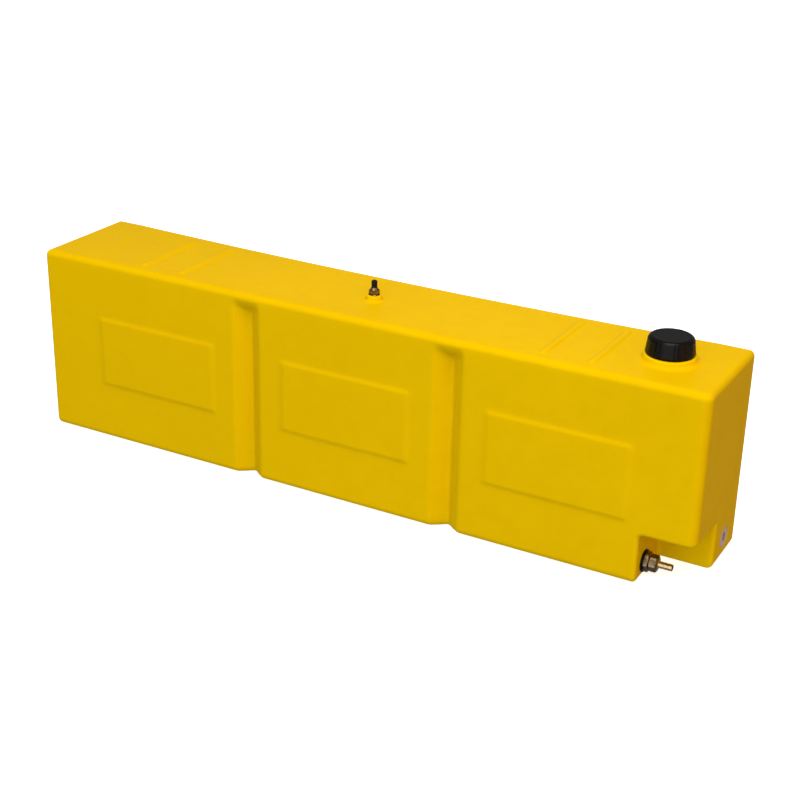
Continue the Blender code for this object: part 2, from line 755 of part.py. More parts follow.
def outlet_hose_tail():
    """The hose tail: a spigot in the bush, a hexagon, and a barbed tail with the water way through."""
    face = BUSH_HEX_END + GAP
    spigot = BUSH_SOCKET_RADIUS - GAP
    spigot_end = BUSH_HEX_END - BUSH_SOCKET_DEPTH + END_CLEARANCE
    body = hexagon("outlet_hose_tail", TAIL_HEX_ACROSS, face, TAIL_HEX_END, OUTLET)
    outer = barbs(TAIL_END, TAIL_HEX_END, TAIL_BARBS, TAIL_RADIUS, BARB_STEP)
    profile = [(0.0, TAIL_END)] + outer
    profile += [
        (TAIL_RADIUS, TAIL_HEX_END - LAP),
        (spigot, face + LAP),
        (spigot, spigot_end),
        (0.0, spigot_end),
    ]
    stem = turned("tail_stem", profile, OUTLET, SMALL_ROUND_STEPS)
    drill = cylinder("tail_drill", TAIL_BORE, -REACH, TAIL_END + REACH, OUTLET, SMALL_ROUND_STEPS)
    join(body, as_cutter(point_along_x(stem)))
    cut(body, as_cutter(point_along_x(drill)))
    return as_part(point_along_x(body), BRASS)


# ---- label -----------------------------------------------------------------------------------------


def round_label():
    """A blank moulded-in label, flush in its seat."""
    at = Vector((LENGTH / 2, LABEL_Y, LABEL_Z))
    disc = cylinder("round_label", LABEL_RADIUS, -LABEL_THICKNESS - GAP, -GAP, at, ROUND_STEPS)
    return as_part(point_along_x(disc), LABEL_WHITE)


clear_scene()
PARTS = new_collection("fresh_water_tank")
CUTTERS = new_collection("cutters")

YELLOW = new_material("yellow_polyethylene", (0.78, 0.46, 0.002), 0.45)
BLACK_PLASTIC = new_material("black_polypropylene", (0.012, 0.012, 0.013), 0.4)
WHITE_FOAM = new_material("white_foam", (0.75, 0.75, 0.72), 0.8)
BLACK_RUBBER = new_material("black_rubber", (0.010, 0.010, 0.010), 0.7)
BRASS = new_material("brass", (0.62, 0.44, 0.17), 0.3, 1.0)
LABEL_WHITE = new_material("label_white", (0.70, 0.66, 0.66), 0.5)

tank_shell()
filler_neck()
filler_cap()
cap_gasket()
breather_insert()
breather_barb()
breather_cap()
outlet_insert()
outlet_washer()
outlet_bush()
outlet_hose_tail()
round_label()
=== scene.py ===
import json
import math

import bpy
import numpy as np
from mathutils import Matrix, Vector


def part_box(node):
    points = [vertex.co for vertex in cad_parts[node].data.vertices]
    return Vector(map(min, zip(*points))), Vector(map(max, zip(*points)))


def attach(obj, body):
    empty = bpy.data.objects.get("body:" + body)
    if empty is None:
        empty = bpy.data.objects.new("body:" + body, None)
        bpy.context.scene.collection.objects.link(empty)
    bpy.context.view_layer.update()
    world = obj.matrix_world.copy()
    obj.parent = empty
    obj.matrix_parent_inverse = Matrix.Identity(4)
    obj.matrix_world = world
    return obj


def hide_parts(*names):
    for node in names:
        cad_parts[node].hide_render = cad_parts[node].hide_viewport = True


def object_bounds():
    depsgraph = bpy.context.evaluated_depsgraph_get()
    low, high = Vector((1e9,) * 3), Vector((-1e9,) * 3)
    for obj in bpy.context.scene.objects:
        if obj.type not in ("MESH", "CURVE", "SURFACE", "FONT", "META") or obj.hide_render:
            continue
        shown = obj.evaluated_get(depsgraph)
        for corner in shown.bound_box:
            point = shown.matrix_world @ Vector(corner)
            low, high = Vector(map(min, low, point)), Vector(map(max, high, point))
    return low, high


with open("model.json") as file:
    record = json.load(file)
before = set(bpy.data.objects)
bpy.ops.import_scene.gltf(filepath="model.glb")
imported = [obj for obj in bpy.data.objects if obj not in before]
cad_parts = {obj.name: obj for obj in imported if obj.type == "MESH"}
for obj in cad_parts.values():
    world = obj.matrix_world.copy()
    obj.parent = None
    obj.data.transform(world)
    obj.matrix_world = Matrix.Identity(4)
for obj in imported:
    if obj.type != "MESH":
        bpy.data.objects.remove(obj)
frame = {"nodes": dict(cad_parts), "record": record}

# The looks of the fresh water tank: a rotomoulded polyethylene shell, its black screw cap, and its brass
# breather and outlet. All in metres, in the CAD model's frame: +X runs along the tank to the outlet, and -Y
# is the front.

CAD_LOW, CAD_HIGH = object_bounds()


# ---- places read from the frame --------------------------------------------------------------------


def opening(name):
    """The lowest and highest corner of a space that the record states."""
    for space in frame["record"]["physics"]["openings"]:
        if space["name"] == name:
            return [Vector(corner) for corner in space["box_m"]]


def mount(name):
    for place in frame["record"]["mounts"]:
        if place["name"] == name:
            return Vector(place["pos_m"])


def middle(low, high):
    return (low + high) / 2


def round_size(node, axis):
    """The radius of a round node, from its box's side along an axis across it."""
    low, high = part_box(node)
    return (high[axis] - low[axis]) / 2


OPENING_MARGIN = 0.003  # between a stated opening and the walls beside it
X, Y, Z = 0, 1, 2

LENGTH = CAD_HIGH.x - CAD_LOW.x
HEIGHT = 2 * mount("back_land_left").z
BACK = CAD_HIGH.y
PAD_FACE = CAD_LOW.y

FILLER = middle(*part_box("filler_neck"))
BREATHER = middle(*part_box("breather_insert"))
OUTLET = middle(*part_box("outlet_washer"))

# ---- the shell's form ------------------------------------------------------------------------------

WALL = 0.005
GAP = 0.0003  # clearance between two pieces
REACH = 0.010  # how far a cutter runs past what it cuts
DEEP_REACH = 3 * REACH  # and where it goes through a wall and an insert
PAD_PROUD = 0.0018
FRONT = PAD_FACE + PAD_PROUD
EDGE_RADIUS = 0.010
CORNER_RADIUS = 0.0068  # of the upright corners
OUTLET_CORNER_RADIUS = 0.0140  # of the upright corner over the recess, which is rounder
LAND_START = 0.500
BACK_BOW = 0.006
TOP_SAG = 0.0035
FRONT_SAG_SHARE = 0.4

FLUTE_HALF_WIDTH = 0.0358
FLUTE_DEPTH = 0.0155
FLUTE_FLANK_RADIUS = 0.041
FLUTE_TOP = 0.2844
FLUTE_BLEND = 0.0050
FLUTE_TOP_BLEND = 0.0090
VALLEY_HALF_WIDTH = 0.008

PAD_XS = [mount(f"front_pad_{side}").x for side in ("left", "middle", "right")]
FLUTE_SPREAD = 0.1699  # from the middle pad to a flute
FLUTE_XS = (PAD_XS[1] - FLUTE_SPREAD, PAD_XS[1] + FLUTE_SPREAD)
PAD_Z = mount("front_pad_middle").z
PAD_WIDTH = 0.2155
PAD_HEIGHT = 0.1115
PAD_SIDE_SLOPE = 0.0130  # how wide the slope is that a pad rises by, at its sides
PAD_END_SLOPE = 0.0090  # and at its top and bottom

RIB_XS = (-0.3715, -0.3015, 0.3030, 0.3740)
RIB_Y = -0.003
RIB_LENGTH = 0.143
RIB_RADIUS = 0.0065
RIB_PROUD = 0.003
RIB_BLEND = 0.0035

NOTCH_LEFT = opening("recess_above_outlet")[0].x - OPENING_MARGIN
NOTCH_BACK = opening("recess_above_outlet")[1].y + OPENING_MARGIN
NOTCH_CEILING = opening("recess_above_outlet")[1].z + OPENING_MARGIN
NOTCH_CORNER = 0.007
OUTLET_FACE = Vector((NOTCH_LEFT, OUTLET.y, OUTLET.z))
NOTCH_EDGE = 0.006

FILLER_BOSS_RADIUS = 0.0367
FILLER_BOSS_TOP = HEIGHT + 0.0095
FILLER_REACH = 0.046  # from the boss's axis to the end of the fillet at its foot
BREATHER_BOSS_RADIUS = 0.0118
BREATHER_BOSS_TOP = HEIGHT + 0.0066
BREATHER_REACH = 0.017
BOSS_RIM = 0.0022
BOSS_FILLET = 0.010
BREATHER_FILLET = 0.006
OUTLET_BLOCK_RADIUS = 0.0175
OUTLET_BLOCK_DEPTH = 0.014

# ---- the fittings' form ----------------------------------------------------------------------------

THREAD_PITCH = 0.006
THREAD_TURNS = 1.4
THREAD_LOW = HEIGHT + 0.0160
THREAD_ROOT_WIDTH = 0.0026
THREAD_CREST_WIDTH = 0.0015
THREAD_RUN_IN = 0.06  # the share of a turn over which a thread grows to its full height
THREAD_ROW = 0.0005
THREAD_SIDES = 180

NECK_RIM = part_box("filler_neck")[1].z
NECK_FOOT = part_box("filler_neck")[0].z
NECK_BORE = 0.025
NECK_THREAD_ROOT = 0.0285
NECK_THREAD_CREST = 0.0300
NECK_FLANGE_RADIUS = round_size("filler_neck", X)
NECK_FLANGE_THICKNESS = 0.0012
NECK_RIM_ROUND = 0.0008

CAP_RIM, CAP_TOP = (corner.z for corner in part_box("filler_cap"))
CAP_RIM_RADIUS = 0.0343
CAP_SHOULDER_RADIUS = 0.0321
CAP_SHOULDER_FALL = 0.0068
CAP_SHOULDER_STEPS = 14
CAP_FLAT_RADIUS = 0.0255
CAP_SIDE_ROWS = 8
CAP_BORE = 0.0305
CAP_THREAD_CREST = 0.0291
CAP_CEILING = CAP_TOP - 0.0036
CAP_RIM_ROUND = 0.0005
CAP_FLUTES = 18
CAP_FLUTE_DEPTH = 0.00035
CAP_FLUTE_HALF_WIDTH = 0.0019
CAP_SIDES = CAP_FLUTES * 24
CAP_DISH_RADIUS = 0.0235
CAP_DISH_DEPTH = 0.00014
CAP_DISH_EDGE = 0.0012
CAP_DISH_RINGS = (0.3, 0.6, 0.9)  # shares of the dish's radius
GATE_RADIUS = 0.0014
GATE_DEPTH = 0.0003

BREATHER_HEX_LOW, BREATHER_BARB_TOP = HEIGHT + 0.0083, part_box("breather_barb")[1].z
BREATHER_HEX_HIGH = HEIGHT + 0.0145
BREATHER_HEX_ACROSS = 0.014
BREATHER_CONE_TOP = HEIGHT + 0.0180
BREATHER_CONE_FOOT_RADIUS = 0.0066
BREATHER_CONE_TOP_RADIUS = 0.0046
BREATHER_BARB_RADIUS = 0.0034
BREATHER_BARB_STEP = 0.0004
BREATHER_BARBS = 2
BREATHER_STEM_RADIUS = 0.0043
BREATHER_STEM_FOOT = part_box("breather_barb")[0].z
BREATHER_BORE = 0.0016
BREATHER_FLANGE_RADIUS = round_size("breather_insert", X)
BREATHER_INSERT_RADIUS = 0.0065
BREATHER_COLLAR_RADIUS = 0.0080
BREATHER_CAP_RADIUS = round_size("breather_cap", X)
BREATHER_CAP_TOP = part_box("breather_cap")[1].z
BREATHER_CAP_CROWN = 0.0030
BREATHER_CAP_CROWN_STEPS = 14
BREATHER_CAP_BEAD = 0.0007

OUTLET_THREAD_RADIUS = 0.0105
WASHER_RADIUS = round_size("outlet_washer", Y)
WASHER_THICKNESS = 0.0022
WASHER_ROUND = 0.0006
WASHER_ROUND_STEPS = 5
BUSH_HEX_ACROSS = 0.026
BUSH_HEX_END = 0.0100
BUSH_BORE = 0.0050
BUSH_SOCKET_RADIUS = 0.0068
BUSH_SOCKET_DEPTH = 0.0120
BUSH_SPIGOT_END = -0.0130
TAIL_HEX_ACROSS = 0.022
TAIL_HEX_END = 0.0210
TAIL_END = 0.0420
TAIL_RADIUS = 0.0051
TAIL_BORE = 0.0035
TAIL_BARBS = 3
TAIL_BARB_STEP = 0.0003
TAIL_NECK_RADIUS = 0.0080
TAIL_NECK_LENGTH = 0.0020

HEX_SIDES = 6
HEX_TURN = math.radians(30)  # turns a flat face to +X
HEX_CHAMFER_SLOPE = math.tan(math.radians(30))
HEX_FACE_SHARE = 0.96  # the flat face's radius, as a share of half the width across flats
ROUND_SIDES = 72
ROUND_STEPS = 4  # of a small rounded edge
BARB_RISE = 0.80  # share of a barb's length over which it rises
BARB_FALL = 0.05  # and over which it drops back

LABEL_THICKNESS = 0.0007
LABEL_RADIUS = round_size("round_label", Y)
LABEL_RING = 0.86 * LABEL_RADIUS
LABEL_RING_INSIDE = 0.020 * LABEL_RADIUS
LABEL_RING_OUTSIDE = 0.050 * LABEL_RADIUS
LABEL_BLOT_INSIDE = 0.34 * LABEL_RADIUS
LABEL_BLOT_OUTSIDE = 0.46 * LABEL_RADIUS
LABEL_BLOT_WOBBLE = 0.14 * LABEL_RADIUS

SHARP_ANGLE = 35.0  # degrees between two faces, over which their edge is drawn sharp
CAP_SHARP_ANGLE = 30.0
SHELL_SHARP_ANGLE = 50.0

# ---- how fine the shell's mesh is ------------------------------------------------------------------

FINE = 0.0021
FINE_AT_TOP = 0.7 * FINE
FINE_AT_RIBS = 0.8 * FINE
FINE_IN_VALLEYS = 0.8 * FINE
FINE_AT_BACK = 1.3 * FINE
FINE_AT_FRONT = 1.5 * FINE
FINE_IN_FLUTES = 0.0032
FINE_IN_BOSS = 0.0030
PAD_STEP = 0.0021
COARSE = 0.016
GROWTH = 0.55
CAVITY_FINE = 0.007
CAVITY_COARSE = 0.030
GRID_OFFSET = 0.00037  # keeps grid planes off the flat faces
DRAW_ROUNDS = 4
DRAW_STEP = 0.0002
LEAST_STEEPNESS = 0.25


# ---- small tools -----------------------------------------------------------------------------------


def smooth_step(value):
    value = np.clip(value, 0.0, 1.0)
    return value * value * (3.0 - 2.0 * value)


def soft_max(a, b, blend):
    """The greater value, with the crossing rounded off over `blend`."""
    near = np.maximum(blend - np.abs(a - b), 0.0) / blend
    return np.maximum(a, b) + near * near * blend / 4


def soft_min(a, b, blend):
    return -soft_max(-a, -b, blend)


def round_max(radius, *distances):
    """Where several solids overlap: the greatest of their distances, with round edges of this radius."""
    lifted = [distance + radius for distance in distances]
    outside = np.sqrt(sum(np.maximum(distance, 0.0) ** 2 for distance in lifted))
    highest = lifted[0]
    for distance in lifted[1:]:
        highest = np.maximum(highest, distance)
    return outside + np.minimum(highest, 0.0) - radius


def link(obj):
    bpy.context.scene.collection.objects.link(obj)
    return obj


def mesh_object(name, vertices, faces):
    mesh = bpy.data.meshes.new(name)
    mesh.from_pydata(vertices, [], faces)
    mesh.validate()
    return link(bpy.data.objects.new(name, mesh))


def bake(obj):
    """Leaves an object with the mesh that its modifiers give."""
    bpy.context.view_layer.update()
    evaluated = obj.evaluated_get(bpy.context.evaluated_depsgraph_get())
    mesh = bpy.data.meshes.new_from_object(evaluated)
    obj.modifiers.clear()
    obj.data = mesh
    return obj


def boolean(obj, tool, operation):
    """Cuts, joins or keeps the overlap, and removes the tool."""
    modifier = obj.modifiers.new(operation, "BOOLEAN")
    modifier.operation = operation
    modifier.object = tool
    modifier.solver = "EXACT"
    bake(obj)
    bpy.data.objects.remove(tool, do_unlink=True)
    return obj


def smooth(obj, angle):
    obj.data.shade_smooth()
    obj.data.set_sharp_from_angle(angle=math.radians(angle))
    return obj


def turned(name, profile, at, steps, radius_of=None, start=0.0):
    """Turns a (radius, height) line about +Z at a point. The line goes down the outer side. It closes on
    itself, unless it starts and ends on the axis. radius_of(radius, height, angle) may reshape it."""
    on_axis = profile[0][0] == 0.0
    rows = profile[1:-1] if on_axis else profile
    vertices = []
    for radius, height in rows:
        for i in range(steps):
            angle = start + math.tau * i / steps
            reach = radius_of(radius, height, angle) if radius_of else radius
            vertices.append((at.x + reach * math.cos(angle), at.y + reach * math.sin(angle), height))
    faces = []
    last = len(rows) - 1 if on_axis else len(rows)
    for row in range(last):
        below = (row + 1) % len(rows)
        for i in range(steps):
            turn = (i + 1) % steps
            faces.append((row * steps + i, below * steps + i, below * steps + turn, row * steps + turn))
    if on_axis:
        top = len(vertices)
        vertices.append((at.x, at.y, profile[0][1]))
        vertices.append((at.x, at.y, profile[-1][1]))
        foot = (len(rows) - 1) * steps
        for i in range(steps):
            turn = (i + 1) % steps
            faces.append((top, i, turn))
            faces.append((top + 1, foot + turn, foot + i))
    return mesh_object(name, vertices, faces)


def arc(centre, radius, start, end, steps):
    angles = [math.radians(start + (end - start) * i / steps) for i in range(steps + 1)]
    return [(centre[0] + radius * math.cos(a), centre[1] + radius * math.sin(a)) for a in angles]


def lay_along_x(obj, at):
    """Turns a piece that was made along +Z at the origin to lie along +X from a point."""
    obj.data.transform(Matrix.Translation(at) @ Matrix.Rotation(math.pi / 2, 4, "Y"))
    return obj


def add_piece(obj, body, node, material, angle=SHARP_ANGLE):
    """Paints a piece, puts it on its body, and shows it in place of its CAD node."""
    smooth(obj, angle)
    obj.data.materials.clear()
    obj.data.materials.append(material)
    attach(obj, body)
    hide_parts(node)


def dress(node, material):
    """Gives a CAD node that stays shown its finish."""
    obj = frame["nodes"][node]
    obj.data.materials.clear()
    obj.data.materials.append(material)


# ---- the shell as a field: negative inside, in metres ----------------------------------------------


def shrinkage(x):
    return np.maximum(0.0, 1.0 - (x / LAND_START) ** 2)


def top_height(x, y):
    rearward = (y - FRONT) / (BACK - FRONT)
    share = FRONT_SAG_SHARE + (1.0 - FRONT_SAG_SHARE) * rearward
    return HEIGHT - TOP_SAG * share * shrinkage(x)


def flute_setback(x, z):
    """How far the two flutes set the front back."""
    off_valley = np.minimum(*(np.abs(x - flute_x) for flute_x in FLUTE_XS))
    inward = np.clip(FLUTE_HALF_WIDTH - off_valley, 0.0, FLUTE_HALF_WIDTH)
    flank = FLUTE_FLANK_RADIUS - np.sqrt(FLUTE_FLANK_RADIUS**2 - inward**2)
    valley = soft_min(flank, FLUTE_DEPTH, FLUTE_BLEND)
    below_top = soft_max(FLUTE_TOP - z, 0.0, FLUTE_TOP_BLEND)
    sloped = soft_min(valley, below_top, FLUTE_BLEND)
    return np.maximum(sloped, 0.0) * smooth_step(flank / FLUTE_BLEND)


def pad_rise(x, z):
    rise = 0.0
    for pad_x in PAD_XS:
        within = (PAD_WIDTH + PAD_SIDE_SLOPE) / 2 - np.abs(x - pad_x)
        up = (PAD_HEIGHT + PAD_END_SLOPE) / 2 - np.abs(z - PAD_Z)
        rise = rise + smooth_step(within / PAD_SIDE_SLOPE) * smooth_step(up / PAD_END_SLOPE)
    return PAD_PROUD * rise


def rib_rise(x, y):
    rise = 0.0
    for rib_x in RIB_XS:
        past_end = np.maximum(np.abs(y - RIB_Y) - (RIB_LENGTH / 2 - RIB_RADIUS), 0.0)
        away = np.sqrt((x - rib_x) ** 2 + past_end**2)
        crest = np.sqrt(np.maximum(RIB_RADIUS**2 - away**2, 0.0)) - (RIB_RADIUS - RIB_PROUD)
        rise = rise + np.maximum(soft_max(crest, 0.0, RIB_BLEND), 0.0) * (away < 2 * RIB_RADIUS)
    return rise


def plain_field(x, y, z):
    """The tank with its flutes and its recess, without what stands proud."""
    ends = np.abs(x) - LENGTH / 2
    front = FRONT + flute_setback(x, z) - pad_rise(x, z) - y
    back = y - BACK + BACK_BOW * shrinkage(x)
    corner = np.where((x > 0.0) & (y < 0.0), OUTLET_CORNER_RADIUS, CORNER_RADIUS)
    plan = round_max(corner, ends, np.maximum(front, back))
    levels = np.maximum(-z, z - top_height(x, y))
    body = round_max(EDGE_RADIUS, plan, levels)
    recess = round_max(NOTCH_CORNER, NOTCH_LEFT - x, y - NOTCH_BACK, z - NOTCH_CEILING)
    return round_max(NOTCH_EDGE, body, -recess)


def boss_field(x, y, z, at, radius, top):
    away = np.sqrt((x - at.x) ** 2 + (y - at.y) ** 2)
    return round_max(BOSS_RIM, away - radius, z - top, HEIGHT / 2 - z)


def shell_field(x, y, z):
    lowered = z - rib_rise(x, y) * smooth_step((z - HEIGHT / 2) / (HEIGHT / 4))
    body = plain_field(x, y, lowered)
    filler = boss_field(x, y, z, FILLER, FILLER_BOSS_RADIUS, FILLER_BOSS_TOP)
    breather = boss_field(x, y, z, BREATHER, BREATHER_BOSS_RADIUS, BREATHER_BOSS_TOP)
    return soft_min(soft_min(body, filler, BOSS_FILLET), breather, BREATHER_FILLET)


def cavity_field(x, y, z):
    """The water space: a wall thickness in, with a block left for the outlet's insert."""
    across = np.sqrt((y - OUTLET.y) ** 2 + (z - OUTLET.z) ** 2) - OUTLET_BLOCK_RADIUS
    block = np.maximum(across, NOTCH_LEFT - OUTLET_BLOCK_DEPTH - x)
    return np.maximum(plain_field(x, y, z) + WALL, -block)


# ---- a mesh of a field's zero surface, on a grid that is fine where the form needs it ---------------


def grid_lines(low, high, features, coarse):
    """Lines from low to high. Each feature is (start, end, spacing), and spacing widens away from it."""
    lines = [low]
    while lines[-1] < high:
        at = lines[-1]
        step = coarse
        for start, end, spacing in features:
            away = max(start - at, at - end, 0.0)
            step = min(step, spacing + GROWTH * away)
        lines.append(at + step)
    return np.array(lines)


def surface_mesh(name, field, xs, ys, zs):
    """Surface nets: one vertex in each grid cell that the surface crosses, drawn onto the surface."""
    x, y, z = xs[:, None, None], ys[None, :, None], zs[None, None, :]
    values = field(x, y, z)
    total, count = edge_crossings(values, np.stack(np.broadcast_arrays(x, y, z), axis=-1))
    used = count > 0
    index = np.full(used.shape, -1)
    index[used] = np.arange(used.sum())
    points = drawn_to_surface(field, total[used] / count[used][:, None])
    return mesh_object(name, points.tolist(), cell_faces(values < 0.0, index).tolist())


def edge_crossings(values, places):
    """For each grid cell, the sum of the places where the surface crosses its edges, and their number."""
    inside = values < 0.0
    shape = tuple(n - 1 for n in values.shape)
    total = np.zeros((*shape, 3))
    count = np.zeros(shape)

    def corner(array, i, j, k):
        return array[i:i + shape[0], j:j + shape[1], k:k + shape[2]]

    for a in [(i, j, k) for i in (0, 1) for j in (0, 1) for k in (0, 1)]:
        for axis in (X, Y, Z):
            if a[axis]:
                continue
            b = tuple(v + (n == axis) for n, v in enumerate(a))
            crosses = corner(inside, *a) != corner(inside, *b)
            value_a, value_b = corner(values, *a)[crosses], corner(values, *b)[crosses]
            place_a, place_b = corner(places, *a)[crosses], corner(places, *b)[crosses]
            total[crosses] += place_a + (place_b - place_a) * (value_a / (value_a - value_b))[:, None]
            count[crosses] += 1
    return total, count


def cell_faces(inside, index):
    """A face across each grid edge that the surface crosses, from the vertices of the four cells round it."""
    faces = []
    for axis in (X, Y, Z):
        u, v = (axis + 1) % 3, (axis + 2) % 3
        first = [slice(1, -1)] * 3
        second = [slice(1, -1)] * 3
        first[axis], second[axis] = slice(0, -1), slice(1, None)
        here, there = inside[tuple(first)], inside[tuple(second)]
        for leaving in (True, False):
            crossing = np.argwhere((here != there) & (here == leaving))
            base = crossing + [0 if n == axis else 1 for n in (X, Y, Z)]
            ring = []
            for du, dv in ((-1, -1), (0, -1), (0, 0), (-1, 0)):
                cell = base.copy()
                cell[:, u] += du
                cell[:, v] += dv
                ring.append(index[cell[:, 0], cell[:, 1], cell[:, 2]])
            ring = ring if leaving else ring[::-1]
            faces.append(np.stack(ring, axis=1))
    return np.concatenate(faces)


def drawn_to_surface(field, points):
    """Moves points along the field's slope onto its zero surface."""
    step = DRAW_STEP
    for _ in range(DRAW_ROUNDS):
        x, y, z = points.T
        value = field(x, y, z)
        slope = np.stack([
            field(x + step, y, z) - field(x - step, y, z),
            field(x, y + step, z) - field(x, y - step, z),
            field(x, y, z + step) - field(x, y, z - step),
        ], axis=1) / (2 * step)
        steepness = np.maximum((slope**2).sum(axis=1), LEAST_STEEPNESS)
        points = points - slope * np.clip(value / steepness, -FINE, FINE)[:, None]
    return points


# ---- camera, light and floor -----------------------------------------------------------------------

VIEW_AZIMUTH = math.radians(28.339)
VIEW_ELEVATION = math.radians(23.970)
VIEW_ROLL = math.radians(1.3546)
VIEW_FROM = Vector((1.05415, -1.86915, 1.08854))
LENS_MM = 69.2624
SENSOR_MM = 36.0

AMBIENT = 0.25
KEY = {"place": (0.58, -0.75, 2.50), "size": 1.5, "strength": 0.69, "colour": (1.0, 0.87, 0.78)}
FRONT_FILL = {"towards": (0.12, -0.95, 0.25), "strength": 0.49, "spread": 75.0, "colour": (0.99, 1.0, 1.0)}
END_FILL = {"towards": (0.98, -0.1, 0.15), "strength": 0.21, "spread": 60.0, "colour": (1.0, 0.42, 0.05)}
BACK_FILL = {"towards": (-0.42, 0.90, 0.05), "strength": 0.42, "spread": 60.0, "colour": (1.0, 1.0, 1.0)}
FLOOR_SIZE = 60.0
FLOOR_DROP = 0.0002
FLOOR_COLOUR = (0.95, 0.95, 0.95)
FLOOR_GLOW = 0.75  # lightens the shadow under the tank
BACKDROP_COLOUR = (0.0, 0.0, 0.0)
BACKDROP_GLOW = 0.90
STAGE_ROUGHNESS = 0.9
WHITE = (1.0, 1.0, 1.0, 1.0)


def add_camera():
    camera = link(bpy.data.objects.new("camera", bpy.data.cameras.new("camera")))
    camera.data.lens = LENS_MM
    camera.data.sensor_width = SENSOR_MM
    level = math.cos(VIEW_ELEVATION)
    back = Vector((math.sin(VIEW_AZIMUTH) * level, -math.cos(VIEW_AZIMUTH) * level, math.sin(VIEW_ELEVATION)))
    right = Vector((0.0, 0.0, 1.0)).cross(back).normalized()
    up = back.cross(right)
    across = math.cos(VIEW_ROLL) * right + math.sin(VIEW_ROLL) * up
    upward = math.cos(VIEW_ROLL) * up - math.sin(VIEW_ROLL) * right
    turn = Matrix((across, upward, back)).transposed()
    camera.matrix_world = Matrix.Translation(VIEW_FROM) @ turn.to_4x4()
    bpy.context.scene.camera = camera


def sun(name, towards, strength, spread, colour):
    """A soft, even light. `towards` points at it, and strength is the share of full exposure that it gives
    a face turned to it."""
    light = link(bpy.data.objects.new(name, bpy.data.lights.new(name, "SUN")))
    light.data.energy = math.pi * strength
    light.data.angle = math.radians(spread)
    light.data.color = colour
    light.rotation_euler = Vector(towards).to_track_quat("Z", "Y").to_euler()
    return light


def softbox(name, place, size, strength, colour):
    """A square light that faces the middle of the tank. Strength is the share of full exposure that it
    gives there, so the tank's nearer end is a little brighter."""
    light = link(bpy.data.objects.new(name, bpy.data.lights.new(name, "AREA")))
    towards = Vector(place) - Vector((0.0, 0.0, HEIGHT / 2))
    light.location = place
    light.rotation_euler = towards.to_track_quat("Z", "Y").to_euler()
    light.data.shape = "SQUARE"
    light.data.size = size
    light.data.energy = math.pi**2 * strength * towards.length_squared
    light.data.color = colour


def stage_piece(name, colour, glow):
    """Makes the object just added a part of the plain surroundings, which throw no light on the tank."""
    obj = bpy.context.object
    obj.name = name
    obj.visible_glossy = False
    obj.visible_diffuse = False
    paint = bpy.data.materials.new(name)
    paint.use_nodes = True
    shader = paint.node_tree.nodes["Principled BSDF"]
    shader.inputs["Base Color"].default_value = (*colour, 1.0)
    shader.inputs["Roughness"].default_value = STAGE_ROUGHNESS
    shader.inputs["Specular IOR Level"].default_value = 0.0
    shader.inputs["Emission Color"].default_value = WHITE
    shader.inputs["Emission Strength"].default_value = glow
    obj.data.materials.append(paint)
    return obj


def add_floor():
    bpy.ops.mesh.primitive_plane_add(size=FLOOR_SIZE, location=(0.0, 0.0, -FLOOR_DROP))
    stage_piece("floor", FLOOR_COLOUR, FLOOR_GLOW)


def add_backdrop():
    """A pale dome over the floor, which lets the studio's light through."""
    bpy.ops.mesh.primitive_uv_sphere_add(segments=64, ring_count=32, radius=FLOOR_SIZE / 2)
    backdrop = stage_piece("backdrop", BACKDROP_COLOUR, BACKDROP_GLOW)
    backdrop.visible_shadow = False


def add_studio():
    world = bpy.data.worlds.new("studio")
    world.use_nodes = True
    background = world.node_tree.nodes["Background"]
    background.inputs["Color"].default_value = WHITE
    background.inputs["Strength"].default_value = AMBIENT
    bpy.context.scene.world = world
    bpy.context.scene.view_settings.view_transform = "Standard"
    softbox("key", **KEY)
    sun("front_fill", **FRONT_FILL)
    sun("end_fill", **END_FILL)
    sun("back_fill", **BACK_FILL).visible_glossy = False
    add_floor()
    add_backdrop()


# ---- materials -------------------------------------------------------------------------------------


YELLOW_DEEP = (0.80, 0.518, 0.0005)
YELLOW_PLAIN = (0.84, 0.548, 0.0005)
YELLOW_CLOUD = (0.74, 0.455, 0.0005)
YELLOW_SMUDGE = (0.52, 0.33, 0.004)
# painted highlight: the lighter yellow laid on the shell's outer edges and corners
YELLOW_EDGE_HIGHLIGHT = (0.92, 0.62, 0.001)
YELLOW_SHEEN = (1.0, 0.78, 0.12, 1.0)
BLACK_DEEP = (0.0022, 0.0020, 0.0024)
BLACK_PLAIN = (0.0048, 0.0044, 0.0050)
BLACK_DUST = (0.014, 0.013, 0.014)
RUBBER_DEEP = (0.0035, 0.0025, 0.0050)
RUBBER_PLAIN = (0.0075, 0.0060, 0.0110)
BRASS_DEEP = (0.070, 0.038, 0.013)
BRASS_PLAIN = (0.22, 0.135, 0.048)
BRASS_TARNISH = (0.028, 0.012, 0.006)
# painted glint: the light brass laid on outer edges and corners
BRASS_EDGE_GLINT = (0.70, 0.52, 0.30)
# worn bright by hoses, and a painted highlight along the hose tail
BRASS_WORN_AND_HIGHLIT = (0.78, 0.60, 0.30)
BRASS_ACROSS_RINGS = 60.0  # how finely the turning marks vary across their axis
BRASS_ALONG_RINGS = 6000.0  # and along it
SCUFF_SCALES = (90.0, 900.0, 400.0)
FOAM_DEEP = (0.62, 0.62, 0.58)
FOAM_PLAIN = (0.80, 0.80, 0.77)
PAPER_DEEP = (0.60, 0.47, 0.46)
PAPER_PLAIN = (0.74, 0.64, 0.63)
INK = (0.18, 0.06, 0.16)


